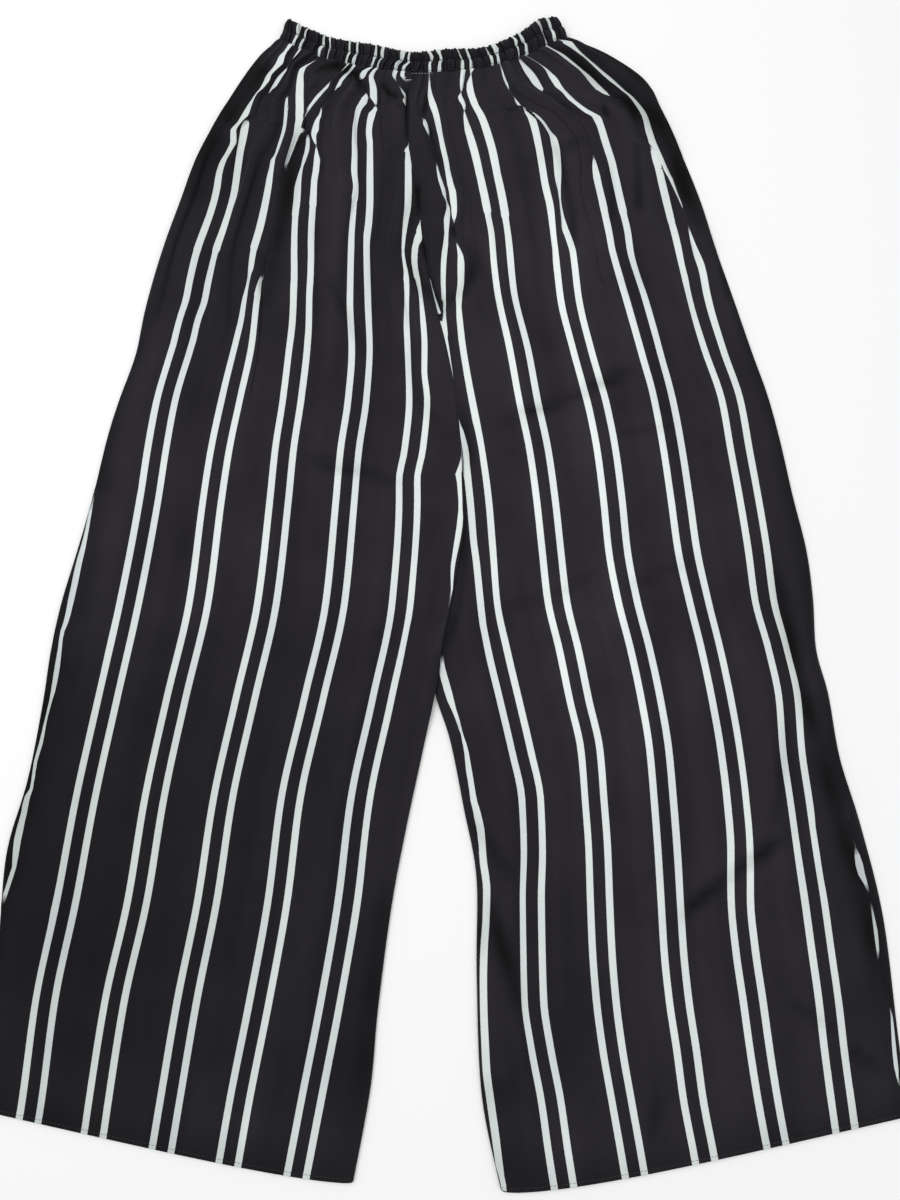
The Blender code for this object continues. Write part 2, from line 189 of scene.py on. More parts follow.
# Where each stripe runs through the gathers, as (across, down) in the view and its width there, left
# stripe then right stripe of each pair. Without a width the cloth's own is kept.
gatherTracks = {
    "left": [
        [
            (290, 47, 4), (286, 53, 3), (282.5, 58, 6), (280, 64, 7.5), (275.5, 70, 5.7), (270, 76, 5),
            (267.5, 81, 6.5), (262, 89, 5), (257, 94, 3), (252.5, 100, 4.5), (247, 110, 7), (241, 120, 7),
            (233, 130, 6), (233, 140, 6.5), (229, 150, 6.5), (223, 161, 7), (219.5, 172, 7),
            (216.5, 190, 7), (211, 210, 7), (204, 230, 7.5), (197, 250, 7.5), (190, 280), (186, 300),
            (179.5, 320), (174, 340),
        ],
        [
            (297, 53, 3), (291, 61, 0.3), (287, 67, 1), (285, 70, 3), (280, 76, 5), (276, 82, 5),
            (272, 88, 4), (268, 94, 0.9), (249, 116, 0.3), (247.4, 119, 0.6), (246.3, 121.5, 6),
            (244, 130, 8), (242, 140, 7.5), (240, 150, 7), (237, 170, 7), (234, 190, 7), (229, 210, 7),
            (223, 230, 7.5), (216, 250, 8), (208, 280), (204, 300), (197, 320), (192.5, 340),
        ],
        [
            (304, 60, 0.3), (287, 95, 0.3), (286.8, 98, 1.6), (286.3, 104, 3.6), (286, 109, 4),
            (285.5, 115, 3.8), (284.5, 124, 3.5), (283.5, 130, 4), (280, 142, 4.2), (276, 154, 4.1),
            (273, 160, 5.5), (272, 166, 5.3), (269.5, 180, 6.5), (266, 200, 7), (260.5, 225, 7.5),
            (253.5, 250, 7.5), (247.5, 285), (244, 300), (241, 318), (235.5, 340),
        ],
        [
            (319, 59, 0.3), (309, 64, 4), (302.5, 69, 6.5), (300.5, 75, 6), (300, 82, 7.5), (299.5, 94, 8),
            (299.6, 106, 8), (299.5, 118, 7.5), (298, 127, 6.5), (296, 136, 5), (293.8, 142, 4),
            (289.5, 154, 2.8), (286.6, 162, 1.9), (285, 166, 0.8), (284, 174, 0.3), (261, 276, 0.8),
            (259, 285, 3.5), (257.5, 295, 6), (256, 306), (254, 325), (252.5, 340),
        ],
        [
            (346, 67, 3), (342, 71.5, 2.6), (338, 75, 0.3), (331, 81, 0.4), (326, 88, 6), (320, 94, 6.5),
            (315, 100, 6), (309, 108, 5), (304, 116, 3), (303, 120, 0.6), (306.5, 131, 0.6), (308, 140, 4),
            (307, 149, 4.8), (304.3, 158, 4.2), (301.9, 166, 2.7), (300.2, 172, 3.7), (297.5, 187, 6.8),
            (296.6, 200, 7), (295, 215, 7), (294, 240), (294, 270), (293, 300), (292, 320),
        ],
        [
            (353, 67, 3.5), (350, 71, 3.5), (345, 76, 4.5), (341, 81, 4), (338, 86, 4), (334, 92, 0.6),
            (322, 108, 0.6), (320, 116, 3), (317.5, 121, 4.5), (315.5, 130, 7), (314, 136, 5),
            (315, 142, 3), (316.5, 147, 0.4), (317, 154, 3.2), (317.4, 160, 6), (316.5, 170, 6.2),
            (314.5, 182, 6), (313, 205, 7), (311.5, 235), (311, 270), (309.5, 300), (309, 325),
        ],
        [
            (372, 67, 3.4), (366.5, 70, 5.2), (363, 74, 6.5), (360.3, 78, 4), (359, 81, 0.4),
            (366, 94, 1.2), (365, 98, 7), (363, 102, 8), (358.5, 109, 5.5), (356.4, 118, 4),
            (354.8, 130, 4), (354.6, 140, 4.5), (355, 155, 5.4), (354.5, 170, 6), (356, 188, 5),
            (354.5, 200, 6), (351.5, 230), (351, 240),
        ],
        [
            (378, 67, 3), (375.8, 70, 3), (373, 74, 4), (371.5, 77, 4.5), (372.5, 83, 6), (373.5, 90, 7),
            (373.8, 99, 7), (375.5, 104, 3), (376, 107, 0.6), (375.5, 110, 4.5), (372.5, 114, 7.5),
            (370, 123, 6.5), (369, 132, 6), (370, 145, 6), (370, 180, 7), (370, 200, 7), (369, 220, 7),
            (367, 240, 7),
        ],
        [
            (396, 70, 4.5), (394, 77, 4), (395, 80, 0.4), (399, 86, 0.6), (404, 94, 3.3), (406.4, 100, 1.8),
            (407, 106, 1), (407.5, 140, 1), (408, 150, 5), (408.5, 160, 6.5), (408.5, 190, 7),
            (408, 205, 6.5), (405.5, 222, 5), (403.5, 240, 3.2), (403, 250, 2.3), (404.3, 262, 3),
            (405.8, 270, 4), (406.3, 280, 6), (406.5, 300), (406.5, 325), (407.5, 350),
        ],
        [
            (403, 71, 4), (402, 76, 3), (404, 80, 0.4), (419, 216, 0.6), (419.5, 220, 2), (420, 228, 5),
            (418, 238, 7), (415, 250, 6), (414.5, 260, 6), (415.5, 270, 5.5), (417.5, 280, 5.5),
            (421.5, 300), (424, 325), (425, 345), (424.5, 370),
        ],
    ],
    "right": [
        [
            (427, 80, 0.3), (424, 118, 0.3), (424.5, 121, 3), (425.5, 125, 4.4), (427.5, 131, 3),
            (429, 136, 0.8), (432, 148, 0.3), (436, 162, 0.3), (438, 172, 2), (440.5, 181, 4),
            (443.5, 190, 4.5), (445, 197, 2.5), (446.5, 200, 0.8), (447.6, 204, 2.2), (448.3, 207, 3.2),
            (448, 212, 5), (447.4, 215, 5.8), (446.9, 219, 6), (446.7, 223, 5.4), (446.4, 232, 3.8),
            (446, 238, 4.2), (445.5, 244, 5), (444.6, 250, 5.5), (443.5, 262, 5.5), (443, 280, 5),
            (443.5, 300, 4.5), (443.5, 315), (445, 335), (449.5, 362), (455, 385), (461.1, 420, 1.2),
            (461.1, 425, 2.3), (461.5, 432, 3.9), (462.8, 440, 6), (464.5, 450, 6.8), (465.7, 460, 7.1),
            (467.3, 470, 6.4), (468.1, 480, 6.9), (470.2, 500, 6.9), (471.9, 520, 7), (473.5, 540, 6.7),
            (476.2, 560, 6.8), (478.3, 580, 6.9), (480.3, 600, 7), (482.5, 620, 6.8),
        ],
        [
            (429.3, 79, 1), (429.5, 88, 2), (430, 95, 4.4), (433, 106, 7), (436, 115, 6), (440.5, 135, 4.5),
            (443, 147, 5), (446, 160, 5), (448, 172, 5), (450, 182, 6), (452.5, 192, 7), (453.5, 202, 6.8),
            (454, 207, 6), (454.2, 212, 5.5), (454.2, 215, 5), (454.1, 219, 3.4), (454, 223, 0.4),
            (456.9, 244, 0.4), (458.7, 250, 2.8), (460.5, 257, 5.5), (461, 265, 7), (461, 280, 6.5),
            (459, 300, 6), (460, 320), (462, 340), (465, 360), (468.5, 380), (472.5, 400), (476.5, 420),
        ],
        [
            (463, 73, 4.5), (462, 82, 4), (461.5, 89, 2.5), (461, 94.5, 0.3), (460.5, 98, 5), (462, 102, 6),
            (464, 107, 3.5), (464.5, 112, 0.8), (465.2, 118, 3.2), (468, 130, 7), (471.6, 142, 8),
            (475.4, 156, 8), (479.7, 175, 7.5), (483.5, 192, 8), (488, 214, 8), (492, 235), (494, 265),
            (497, 290),
        ],
        [
            (472, 70, 3.6), (471, 74, 0.6), (469.5, 83, 5.5), (470, 89, 7), (474, 102, 7), (477, 108, 7),
            (481.5, 116, 7.5), (487.3, 132, 8), (493, 152, 8), (497, 172, 7.5), (502, 195, 8),
            (505.5, 215, 8), (509, 240), (511, 262), (514, 290),
        ],
        [
            (493, 67, 0.3), (512, 95, 0.3), (523, 107, 0.6), (525.5, 110, 3), (527.5, 112.5, 6),
            (531.6, 118, 7.6), (534.2, 125, 7.6), (539, 145, 7), (542.5, 165, 7), (546, 187, 7),
            (550.4, 208, 7), (552.3, 225, 6), (553.7, 238, 5.4), (555.3, 250, 5.4), (556.5, 262, 6.5),
            (558, 275),
        ],
        [
            (500.5, 66, 1), (502.2, 71, 1.5), (504, 77, 2.4), (507, 84, 3), (509, 89, 0.8), (514, 96, 0.8),
            (518, 103, 4), (522.5, 107.5, 5), (529, 110.5, 5.5), (533, 112.5, 5.6), (539, 118, 6.4),
            (542, 121, 5.5), (545, 125, 5), (549, 131, 5), (553, 137, 7), (555, 144, 8), (556.5, 152, 8),
            (558, 172, 7.5), (558.5, 180, 6), (559.5, 190, 3), (560.5, 200, 1.5), (561.6, 208, 2),
            (562.6, 214, 2.6), (563.8, 220, 4), (565, 226, 6), (567, 232, 7), (570, 240), (573, 250),
        ],
        [
            (518, 50, 0.3), (519, 58, 0.6), (522.7, 64, 3), (527.3, 70, 7.5), (532, 76, 8.5),
            (536.3, 82, 8.5), (541, 88, 5), (545.5, 93.5, 0.6), (593.5, 156, 0.6), (595, 165, 4.5),
            (597, 177, 7), (600.5, 193, 7), (604.5, 211, 7.5), (609, 232),
        ],
        [
            (533, 60, 3), (541, 65, 3.5), (547, 70, 4.5), (551.5, 76, 7), (555, 81, 8), (560, 88, 7.6),
            (565.7, 94, 6.5), (571, 100, 7.5), (578, 106, 7), (584.5, 111, 8), (589, 113.6, 10),
            (596.5, 117.5, 9.5), (600, 124, 7.5), (605, 140, 7.5), (612, 162, 7.8), (618, 187, 7.8),
            (624, 213, 8), (628, 230),
        ],
        [
            (549, 47, 3), (555, 50, 4), (560.5, 53, 4.5), (567, 58, 5), (574.5, 64, 5), (582, 70, 4.6),
            (588.5, 76, 6.5), (594, 82, 7.6), (599.5, 88, 8.2), (604.5, 93.5, 8.2), (610, 97, 5),
            (615, 100, 0.6), (649, 143, 0.3), (650.2, 147, 0.5), (651.8, 150, 2.6), (653.6, 154, 4.6),
            (655.6, 160, 6), (658, 166, 6.6), (660.4, 174, 6.8), (663.5, 186, 7.4), (666.5, 198, 7.6),
            (669.5, 210, 7.4), (672.5, 222, 7.2), (676, 235),
        ],
        [
            (556, 39.8, 1), (562, 40.3, 9), (567, 42, 13), (571.5, 46, 8.5), (578, 52, 6.5), (585.5, 58, 5),
            (592.3, 64, 5.8), (598.5, 70, 6), (605.3, 76, 7), (612.3, 82, 6.6), (620, 88, 5.6),
            (627, 94, 4.6), (632.7, 100, 4.8), (637.5, 106, 5.8), (641.8, 112, 6.4), (645, 118, 6.4),
            (649, 130, 7), (653, 142, 7.4), (655.8, 148, 7.4), (659, 154, 6.4), (661.8, 160, 6.2),
            (664.4, 166, 5.8), (667, 172, 5.6), (670, 178, 5), (672.6, 184, 4.4), (677.5, 196, 2.6),
            (681.5, 206, 1.6), (683, 211, 0.3), (687.5, 225, 0.3), (689.3, 232, 1.4), (692, 241, 3),
            (695.3, 250, 4.6), (698.5, 258, 6.4), (702, 268),
        ],
    ],
}

# Single stripes near a leg's edges: place across the cloth, and where they run in the view with their
# width. A width of 0.3 keeps the cloth in place where nothing of the stripe shows.
edgeStripes = {
    "left": [
        (-291.75, [
            (93, 500, 0.6), (90.6, 510, 2.6), (88.7, 520, 2.9), (86, 535, 3.4), (82.4, 550, 5.2),
            (79.6, 560, 5.6), (75.4, 580, 6), (71, 600, 5.7), (66.5, 620, 4.6), (61.4, 635, 3.2),
            (59.7, 650, 3.8), (56.8, 670, 5.3), (53.3, 690, 4.2), (50.9, 700, 2.4), (47.1, 715, 1.8),
            (43.9, 730, 2.3), (40.6, 745, 3.3), (35.9, 760, 2.9), (33.5, 775, 2.4), (31.5, 788, 2.5),
            (28.3, 795, 5.4), (26, 800, 6), (24.7, 810, 5.8), (22.4, 819, 5.8), (19.8, 830, 7),
            (17.5, 840, 7), (16.2, 850, 6.3), (15, 860, 5), (13.7, 870, 3.5), (10, 880, 4), (5, 895, 4),
        ]),
        (51.75, [
            (461.8, 456, 1), (461.2, 465, 4), (460.3, 470, 6.2), (459.4, 476, 8.4), (460.7, 480, 7),
            (461.1, 490, 6), (461.4, 500, 4.9), (461.2, 510, 4.9), (460.3, 520, 5.5), (459.4, 530, 6),
            (457.6, 540, 6), (455.8, 550, 5), (453.9, 560, 4.2), (452.5, 570, 3.7), (452.2, 580, 2.5),
            (452.1, 590, 1.7), (450.7, 598, 0.8), (448.5, 610, 0.3), (446, 625, 0.3), (444, 640, 0.3),
        ]),
    ],
    "right": [
        (-51.75, [(425, 262), (430, 280), (436, 300), (441, 314)]),
        (-51.75, [
            (441.6, 642, 0.3), (442.2, 652, 0.3), (442.9, 662, 1), (443.1, 668, 4.1), (443.7, 676, 7.4),
            (445.8, 683, 7.2), (447.8, 690, 7.4), (450.5, 700, 6.9), (453, 707, 4.6), (456.3, 715, 2.8),
            (458.9, 723, 1.7), (460.9, 730, 1), (463, 738, 2), (466.2, 750, 3.4), (467.6, 760, 4.4),
            (468.9, 770, 5.8), (471.4, 785, 5.5), (473.7, 800, 6.1), (475.4, 806, 7), (478.9, 820, 7.2),
            (481.2, 830, 6.6), (483.4, 860, 7), (487, 890, 6.8), (486.3, 920, 6.6), (484.2, 950, 7.4),
            (483.4, 980, 7.4), (483.8, 1010, 7.5), (485, 1040, 7.6), (486.5, 1070, 7.7), (490.5, 1100, 7.7),
            (496, 1140, 7.7), (502, 1190, 7.7),
        ]),
        (291.75, [
            (851, 832, 0.3), (853, 838, 0.3), (854.6, 843, 0.3), (855.4, 846.6, 0.8), (857, 854.6, 5.1),
            (858.8, 863, 7.6), (860.5, 871, 8), (862.9, 878, 5.6), (865.9, 885, 2.6), (867.6, 890, 0.6),
            (869.3, 897, 0.3), (871.1, 905.5, 0.8), (873, 917, 1.9), (875.4, 931, 3.4), (876.5, 940, 3),
            (877.6, 949, 2.3), (878.3, 960, 0.6), (880, 970, 0.3), (883.5, 985, 0.3), (888, 1000, 0.3),
            (890.5, 1008, 0.4), (891.5, 1012, 1), (892.5, 1024, 2.4), (894, 1045, 3.4), (896, 1065, 4),
            (898.5, 1081, 1), (900, 1088, 0.3), (903, 1100, 0.3),
        ]),
    ],
}

# Stripes that a laid fold hides, between these downs
hiddenStripes = {
    "left": {
        1: (95, 116), 2: (50, 96), 3: (174, 275), 4: (120, 131), 5: (92, 108), 6: (81, 93), 9: (80, 216),
    },
    "right": {0: (70, 119), 4: (67, 107), 6: (94, 156), 8: (100, 143)},
}

# Cloth beyond the outermost pairs, in pair pitches, as (down, pitches)
edgeCloth = {
    "left": {
        "outer": [
            (43, 0.62), (130, 0.63), (200, 0.82), (300, 0.81), (350, 0.71), (400, 0.72), (480, 0.84),
            (495, 0.93), (535, 0.95), (560, 0.965), (580, 0.975), (600, 0.998), (620, 1.02), (650, 1.006),
            (690, 1.006), (700, 1.0), (715, 0.98), (730, 0.945), (760, 0.945), (775, 0.99), (788, 1.02),
            (800, 0.965), (820, 0.985), (860, 0.99), (880, 0.94), (1140, 0.88),
        ],
        "inner": [
            (72, 0.3), (84, 0.1), (92, 0.0), (100, -0.1), (107, -0.19), (130, -0.22), (141, -0.19),
            (150, -0.15), (165, -0.085), (190, 0.0), (217, 0.087), (238, 0.19), (266, 0.33), (312, 0.5),
            (380, 0.67), (430, 0.76), (455, 0.8125), (475, 0.93), (500, 0.95), (535, 0.965), (560, 0.965),
            (590, 0.955), (600, 0.95), (615, 0.945), (640, 0.935), (652, 0.86), (670, 0.79), (693, 0.8),
            (781, 0.82), (829, 0.8), (905, 0.62), (956, 0.66), (1015, 0.69), (1079, 0.75), (1185, 0.8),
        ],
    },
    "right": {
        "inner": [
            (77, 0.6), (110, 0.42), (145, 0.45), (200, 0.55), (235, 0.7), (262, 0.8), (275, 0.85),
            (290, 0.88), (313, 0.88), (320, 0.19), (350, 0.13), (380, 0.086), (400, 0.075), (420, 0.09),
            (438, 0.17), (460, 0.19), (474, 0.2), (480, 0.237), (488, 0.306), (497, 0.376), (506, 0.454),
            (515, 0.53), (526, 0.6), (541, 0.71), (561, 0.81), (580, 0.876), (598, 0.924), (616, 0.943),
            (644, 0.965), (660, 0.98), (676, 0.985), (690, 1.02), (700, 1.05), (720, 1.03), (740, 1.07),
            (780, 1.07), (800, 1.02), (820, 0.985), (860, 0.95), (878, 0.945), (956, 0.95), (1104, 0.945),
            (1190, 0.94),
        ],
        "outer": [
            (39, 0.52), (130, 0.6), (200, 0.4), (250, 0.45), (300, 0.53), (400, 0.58), (500, 0.665),
            (550, 0.73), (600, 0.73), (650, 0.65), (700, 0.6), (750, 0.67), (800, 0.78), (822, 0.95),
            (835, 1.0), (848, 1.01), (860, 1.01), (880, 1.0), (900, 0.99), (960, 0.985), (985, 0.965),
            (1010, 0.96), (1060, 0.97), (1090, 0.95), (1105, 0.94), (1120, 0.85), (1150, 0.8),
        ],
    },
}

# Folds laid flat that hide a strip of cloth. Each row is (down in the view, where the strip starts
# and ends across the cloth); top says which side's cloth lies over the other.
laidFolds = {
    "left": [
        {"top": "right", "rows": [
            (88, -228, -226), (95, -235, -227), (106, -236.5, -227), (112, -236, -228),
            (116, -233.5, -231.5),
        ]},
        {"top": "left", "rows": [
            (56, -192.5, -184.5), (72, -192.5, -184.5), (92, -192.5, -184.5), (97, -191, -185),
            (105, -188, -186),
        ]},
        {"top": "left", "rows": [
            (56, -163, -156), (82, -165, -152), (93, -166.5, -143), (104, -166.8, -136), (116, -167, -131),
            (120, -167, -125), (130, -167, -125), (134, -167, -131), (148, -166.5, -141), (165, -168, -148),
            (173, -175.5, -148), (200, -177, -147), (225, -177, -149), (250, -177, -153), (271, -177, -156),
            (280, -170, -156), (300, -168, -158), (340, -166, -160), (390, -164, -161),
        ]},
        {"top": "right", "rows": [
            (88, -108, -106), (93, -115, -107), (102, -116, -107.5), (108, -115.5, -109), (114, -113, -111),
        ]},
        {"top": "left", "rows": [(76, -67, -63), (81, -72.5, -64), (91, -72.5, -64), (97, -68, -64)]},
        {"top": "left", "rows": [(90, -47, -43), (104, -47, -38), (120, -44, -36), (150, -40, -36)]},
    ],
    "right": [
        {"top": "right", "rows": [
            (76, -12, -5), (84, -12.5, -4.5), (112, -12.5, -4.5), (119, -11, -5), (125, -8, -6),
        ]},
        {"top": "left", "rows": [
            (90, 14, 18), (110, 16, 28), (150, 20, 30), (200, 26, 34), (250, 30, 36), (300, 32, 35),
        ]},
        {"top": "right", "rows": [
            (66, 107, 113), (74, 106.5, 115), (103, 107, 115.5), (108, 111, 119.5), (112, 115.4, 124.6),
            (118, 115.6, 124.4), (124, 118, 122),
        ]},
        {"top": "right", "rows": [
            (90, 142, 146), (120, 146, 156), (160, 150, 158), (220, 152, 157), (280, 153, 156),
        ]},
        {"top": "right", "rows": [
            (88, 171, 174), (93, 168, 175.5), (104, 167.5, 175.5), (140, 167.5, 175.5), (155, 168.5, 175),
            (161, 171, 173),
        ]},
        {"top": "left", "rows": [
            (94, 227, 230), (99, 227.5, 236), (122, 227.5, 236), (138, 228, 239), (143, 228.6, 244),
            (147, 229.4, 245.6), (152, 231.2, 246.2), (156, 232.5, 246.2), (160, 233.3, 246.2),
            (166, 234.5, 246), (171, 237.2, 243.5), (176, 239.5, 241.5),
        ]},
    ],
}

gathers = {
    # length along the cloth, where below the seam they start to fade and end, and their strength
    "waves": [(9.6, 6, 45, 0.8), (19.4, 30, 140, 1.0), (33.0, 70, 330, 0.8)],
    "steepest": 1.2,
    "highest": 3.0,
    "lowest": -1.5,
    "meanReach": 24.0,  # the waves are measured from a running mean with this reach
}

grid = {
    "spareColumns": 260,  # shared out between the laid folds
    "turn": 1.3,  # cloth taken by one turn of a laid fold
}


def smoothStep(low, high, value):
    share = np.clip((value - low) / (high - low), 0.0, 1.0)
    return share * share * (3.0 - 2.0 * share)


def bell(distance, reach):
    return np.exp(-((distance / reach) ** 2))


def rounded(distance, radius):
    # the rise of a quarter round, from 0 at its edge to 1
    return np.sqrt(1 - (1 - np.clip(distance / radius, 0, 1)) ** 2)


def runningSum(values):
    return np.concatenate(([0.0], np.cumsum(values)))


def viewToCloth(across, down, height=0.0):
    focal = view["height"] * view["lens"] / view["sensor"]
    right = (across - view["width"] / 2) / focal
    up = (view["height"] / 2 - down) / focal
    cosTilt, sinTilt = math.cos(view["tilt"]), math.sin(view["tilt"])
    eye = (view["aimX"], view["aimY"] - view["distance"] * sinTilt, view["distance"] * cosTilt)
    ray = (right, sinTilt + up * cosTilt, -cosTilt + up * sinTilt)
    reach = (height - eye[2]) / ray[2]
    return eye[0] + reach * ray[0] - centre[0], eye[1] + reach * ray[1] - centre[1]


def placed(x, y, z):
    # from the tables' places to the frame's
    return np.stack((x + centre[0], y + centre[1], z), axis=1)


def through(places, values, at):
    # a curve through the values that doesn't overshoot, and goes straight on beyond its ends
    order = np.argsort(places)
    places = np.asarray(places, float)[order]
    values = np.asarray(values, float)[order]
    steps = np.diff(values) / np.diff(places)
    product = steps[:-1] * steps[1:]
    inner = np.where(product > 0, 2 * product / np.where(product > 0, steps[:-1] + steps[1:], 1.0), 0.0)
    slopes = np.concatenate((steps[:1], inner, steps[-1:]))
    at = np.asarray(at, float)
    index = np.clip(np.searchsorted(places, at) - 1, 0, len(places) - 2)
    length = places[index + 1] - places[index]
    share = (at - places[index]) / length
    t = np.clip(share, 0.0, 1.0)
    curve = values[index] * (1 + 2 * t) * (1 - t) ** 2 + values[index + 1] * t * t * (3 - 2 * t)
    curve += length * (slopes[index] * t * (1 - t) ** 2 - slopes[index + 1] * t * t * (1 - t))
    return curve + (share - t) * length * np.where(share > 1, slopes[-1], slopes[0])


def betweenRows(rows, place):
    last = len(rows) - 1
    place = min(max(place, 0.0), float(last))
    index = min(int(place), last - 1)
    t = place - index
    a, b, c, d = (np.array(rows[min(max(index + k, 0), last)], float) for k in (-1, 0, 1, 2))
    return (2 * b + (c - a) * t + (2 * a - 5 * b + 4 * c - d) * t**2 + (3 * b - a - 3 * c + d) * t**3) / 2


casing = {
    # top edge x, y, seam x, y, how far the back's top edge shows above the front's
    "sections": [
        (-141, 519.5, -149, 499.8, 0),
        (-118, 508, -124, 488, 0),
        (-97, 500, -101, 479.5, 1),
        (-60, 493.5, -62, 471.5, 2),
        (-26, 486.5, -23, 467.3, 2),
        (6, 489.5, 10, 468, 0),
        (40, 491, 46, 473, 0),
        (72, 504, 80, 484, 0),
        (93, 518.5, 102, 495, 0),
        (109, 520.5, 119, 501.3, 0),
    ],
    "leftEnd": -277.0,  # cloth coordinates of its ends
    "rightEnd": 331.0,
    "height": 22.5,  # of the flat cloth, from its top edge to its seam
    "ruffle": 19.6,  # length of cloth in one ruffle
    "pucker": 6.9,  # and in one small pucker
    "steepest": 1.8,
    "ruffleHeight": 2.3,
    "frontBase": 4.1,
    "puff": 2.1,
    "meanReach": 14.0,  # its waves are measured from a running mean with this reach
    # the stitched row also takes this as painted shade
    "stitchShown": 0.3,  # how pale a stripe stays where the middle stitching draws the cloth in
    # painted shade over the whole casing, for the shade of its ruffles
    "shade": 0.69,
    "endHeight": 1.2,
    "endRadius": 6.0,
    "columns": 1100,
    "rows": 26,
    "samples": 181,  # places worked out along each of its lines
    "backWall": 2.0,
    "backColumns": 900,
    "backRuffle": 4.8,
    "backRelief": 1.62,
    "backShift": 9,  # its stripes don't meet those of the front
}


# Each stripe over the casing, from its top edge to its seam, with its width in the view
casingTracks = [
    [
        (299.5, 27, 3.5), (298.6, 30, 3.5), (297.2, 36, 2.6), (296.3, 39, 3.1), (294.6, 42, 3.5),
        (292.2, 45, 4.2), (289.1, 48, 3),
    ],
    [
        (307.5, 31, 2), (306.4, 33, 1.8), (304.3, 39, 1.9), (303.2, 42, 2.6), (301.5, 45, 2),
        (299.5, 48, 2.7), (297.3, 51, 3),
    ],
    [
        (325, 34, 1.6), (324.4, 39, 1.6), (323.9, 42, 2), (323.6, 45, 2.4), (320.6, 51, 1.7),
        (318.4, 57, 1.8), (315.8, 60, 4),
    ],
    [
        (331, 37, 1.6), (330.6, 39, 1.7), (330.2, 45, 1.3), (330.1, 48, 2.2), (329.7, 51, 2),
        (328.5, 55, 1.5), (326.7, 60, 1.8),
    ],
    [
        (350.2, 43, 1.5), (349.8, 48, 1.4), (349.5, 54, 2.3), (346.9, 60, 2.6), (345.9, 63, 2.6),
        (345.7, 66, 2.4), (344, 69, 3),
    ],
    [
        (358, 43, 2.6), (357.5, 48, 1.8), (357, 54, 2.4), (355.8, 57, 3.8), (354, 60, 4.2),
        (353.1, 63, 3.6), (352, 66, 2.4), (350.5, 69, 3.4),
    ],
    [
        (376.4, 46, 1.7), (376.3, 51, 1.8), (375.4, 57, 2.4), (373.9, 60, 2.9), (372.6, 63, 3.4),
        (371.2, 66, 2.9), (368.5, 69, 4.2),
    ],
    [
        (383.5, 47, 4), (382.6, 51, 3.9), (382.2, 54, 3.6), (382.2, 57, 2.7), (379.4, 63, 2.9),
        (377.1, 69, 2.6),
    ],
    [
        (403.5, 50, 5.2), (402.8, 54, 5), (402.3, 57, 4.3), (401.5, 60, 3), (399.4, 63, 3.4),
        (397, 66, 2.9), (394.8, 72, 2.6),
    ],
    [
        (410, 54, 1.8), (409, 57, 1.8), (408.5, 60, 1.8), (408.7, 63, 2.7), (406.1, 66, 4.8),
        (403.7, 69, 3.7), (402.9, 72, 1.6),
    ],
    [
        (428.2, 49, 3), (429.9, 54, 4.3), (431.5, 57, 3.8), (431.6, 60, 1.9), (430.3, 63, 2),
        (429.4, 66, 1.6), (429.3, 72, 2),
    ],
    [
        (437.6, 47, 4.3), (438, 51, 4.5), (438.8, 54, 3.8), (440.5, 57, 2.7), (441.2, 60, 2.7),
        (439.6, 66, 2.6), (439.5, 70, 3.3),
    ],
    [
        (457.8, 49, 1.8), (459.6, 54, 1.8), (460.9, 57, 2.3), (462.1, 60, 2.1), (462.4, 63, 3.2),
        (462.5, 69, 3.8), (463.1, 73, 3.6),
    ],
    [
        (465.8, 49, 3.1), (467.5, 54, 3.2), (469, 57, 3.2), (470, 60, 2.7), (470.9, 63, 2.5),
        (471.1, 68, 3), (471.9, 73, 4.2),
    ],
    [
        (485.2, 48, 1.7), (486.7, 51, 2.1), (488.7, 54, 3.2), (490.5, 57, 3.1), (491.1, 60, 2.6),
        (492.2, 64, 2.1), (492.3, 68, 1.2),
    ],
    [
        (493, 45.5, 4.4), (493.7, 48, 4.8), (496, 51, 5.6), (496.8, 54, 3.1), (497.7, 57, 1.7),
        (499.3, 63, 2.6), (501.6, 69, 1.6),
    ],
    [
        (511.5, 37, 2.4), (513.2, 39, 2.5), (515.6, 42, 3.4), (516.2, 45, 2.7), (517.5, 49, 1.6),
        (518.7, 54, 1),
    ],
    [
        (518.3, 33, 3.8), (519.5, 36, 3.8), (521.4, 39, 4.6), (523.2, 42, 4.2), (525.7, 45, 2.2),
        (526.4, 51, 3), (529.3, 57, 3.3), (531, 60, 2.8),
    ],
    [
        (537.5, 21, 3), (539.8, 26, 3), (541.6, 30, 3), (543.4, 36, 1.6), (544.3, 39, 1.8),
        (545.8, 42, 2.4), (547.1, 45, 3),
    ],
    [
        (546.5, 17, 3.6), (549.5, 25, 3.6), (551.6, 30, 3.5), (552.7, 33, 3.4), (553.5, 36, 3.1),
        (554.1, 39, 2.6), (555.5, 42, 2.4),
    ],
]


def casingLine(down):
    sections = casing["sections"]
    places = np.linspace(0, len(sections) - 1, casing["samples"])
    rows = np.array([betweenRows(sections, place) for place in places])
    x = rows[:, 0] + (rows[:, 2] - rows[:, 0]) * down
    y = rows[:, 1] + (rows[:, 3] - rows[:, 1]) * down
    return x, y, rows[:, 4]


seamLine = casingLine(1.0)


def rowLine(leg, level, samples=161):
    # the line of one section across a leg, from its left end in the view to its right end
    innerX, innerY, outerX, outerY, sag, peek = betweenRows(legSections[leg], level)
    across = np.linspace(0, 1, samples)
    x = innerX + (outerX - innerX) * across
    y = innerY + (outerY - innerY) * across - sag * np.sin(math.pi * across**0.55)
    if level < 0.5:
        y += (np.interp(x, seamLine[0], seamLine[1]) - y) * (1 - 2 * level)
    if leg == "left":
        x, y = x[::-1], y[::-1]
    return x, y, peek


def lengthAlong(x, y):
    return runningSum(np.hypot(np.diff(x), np.diff(y)))


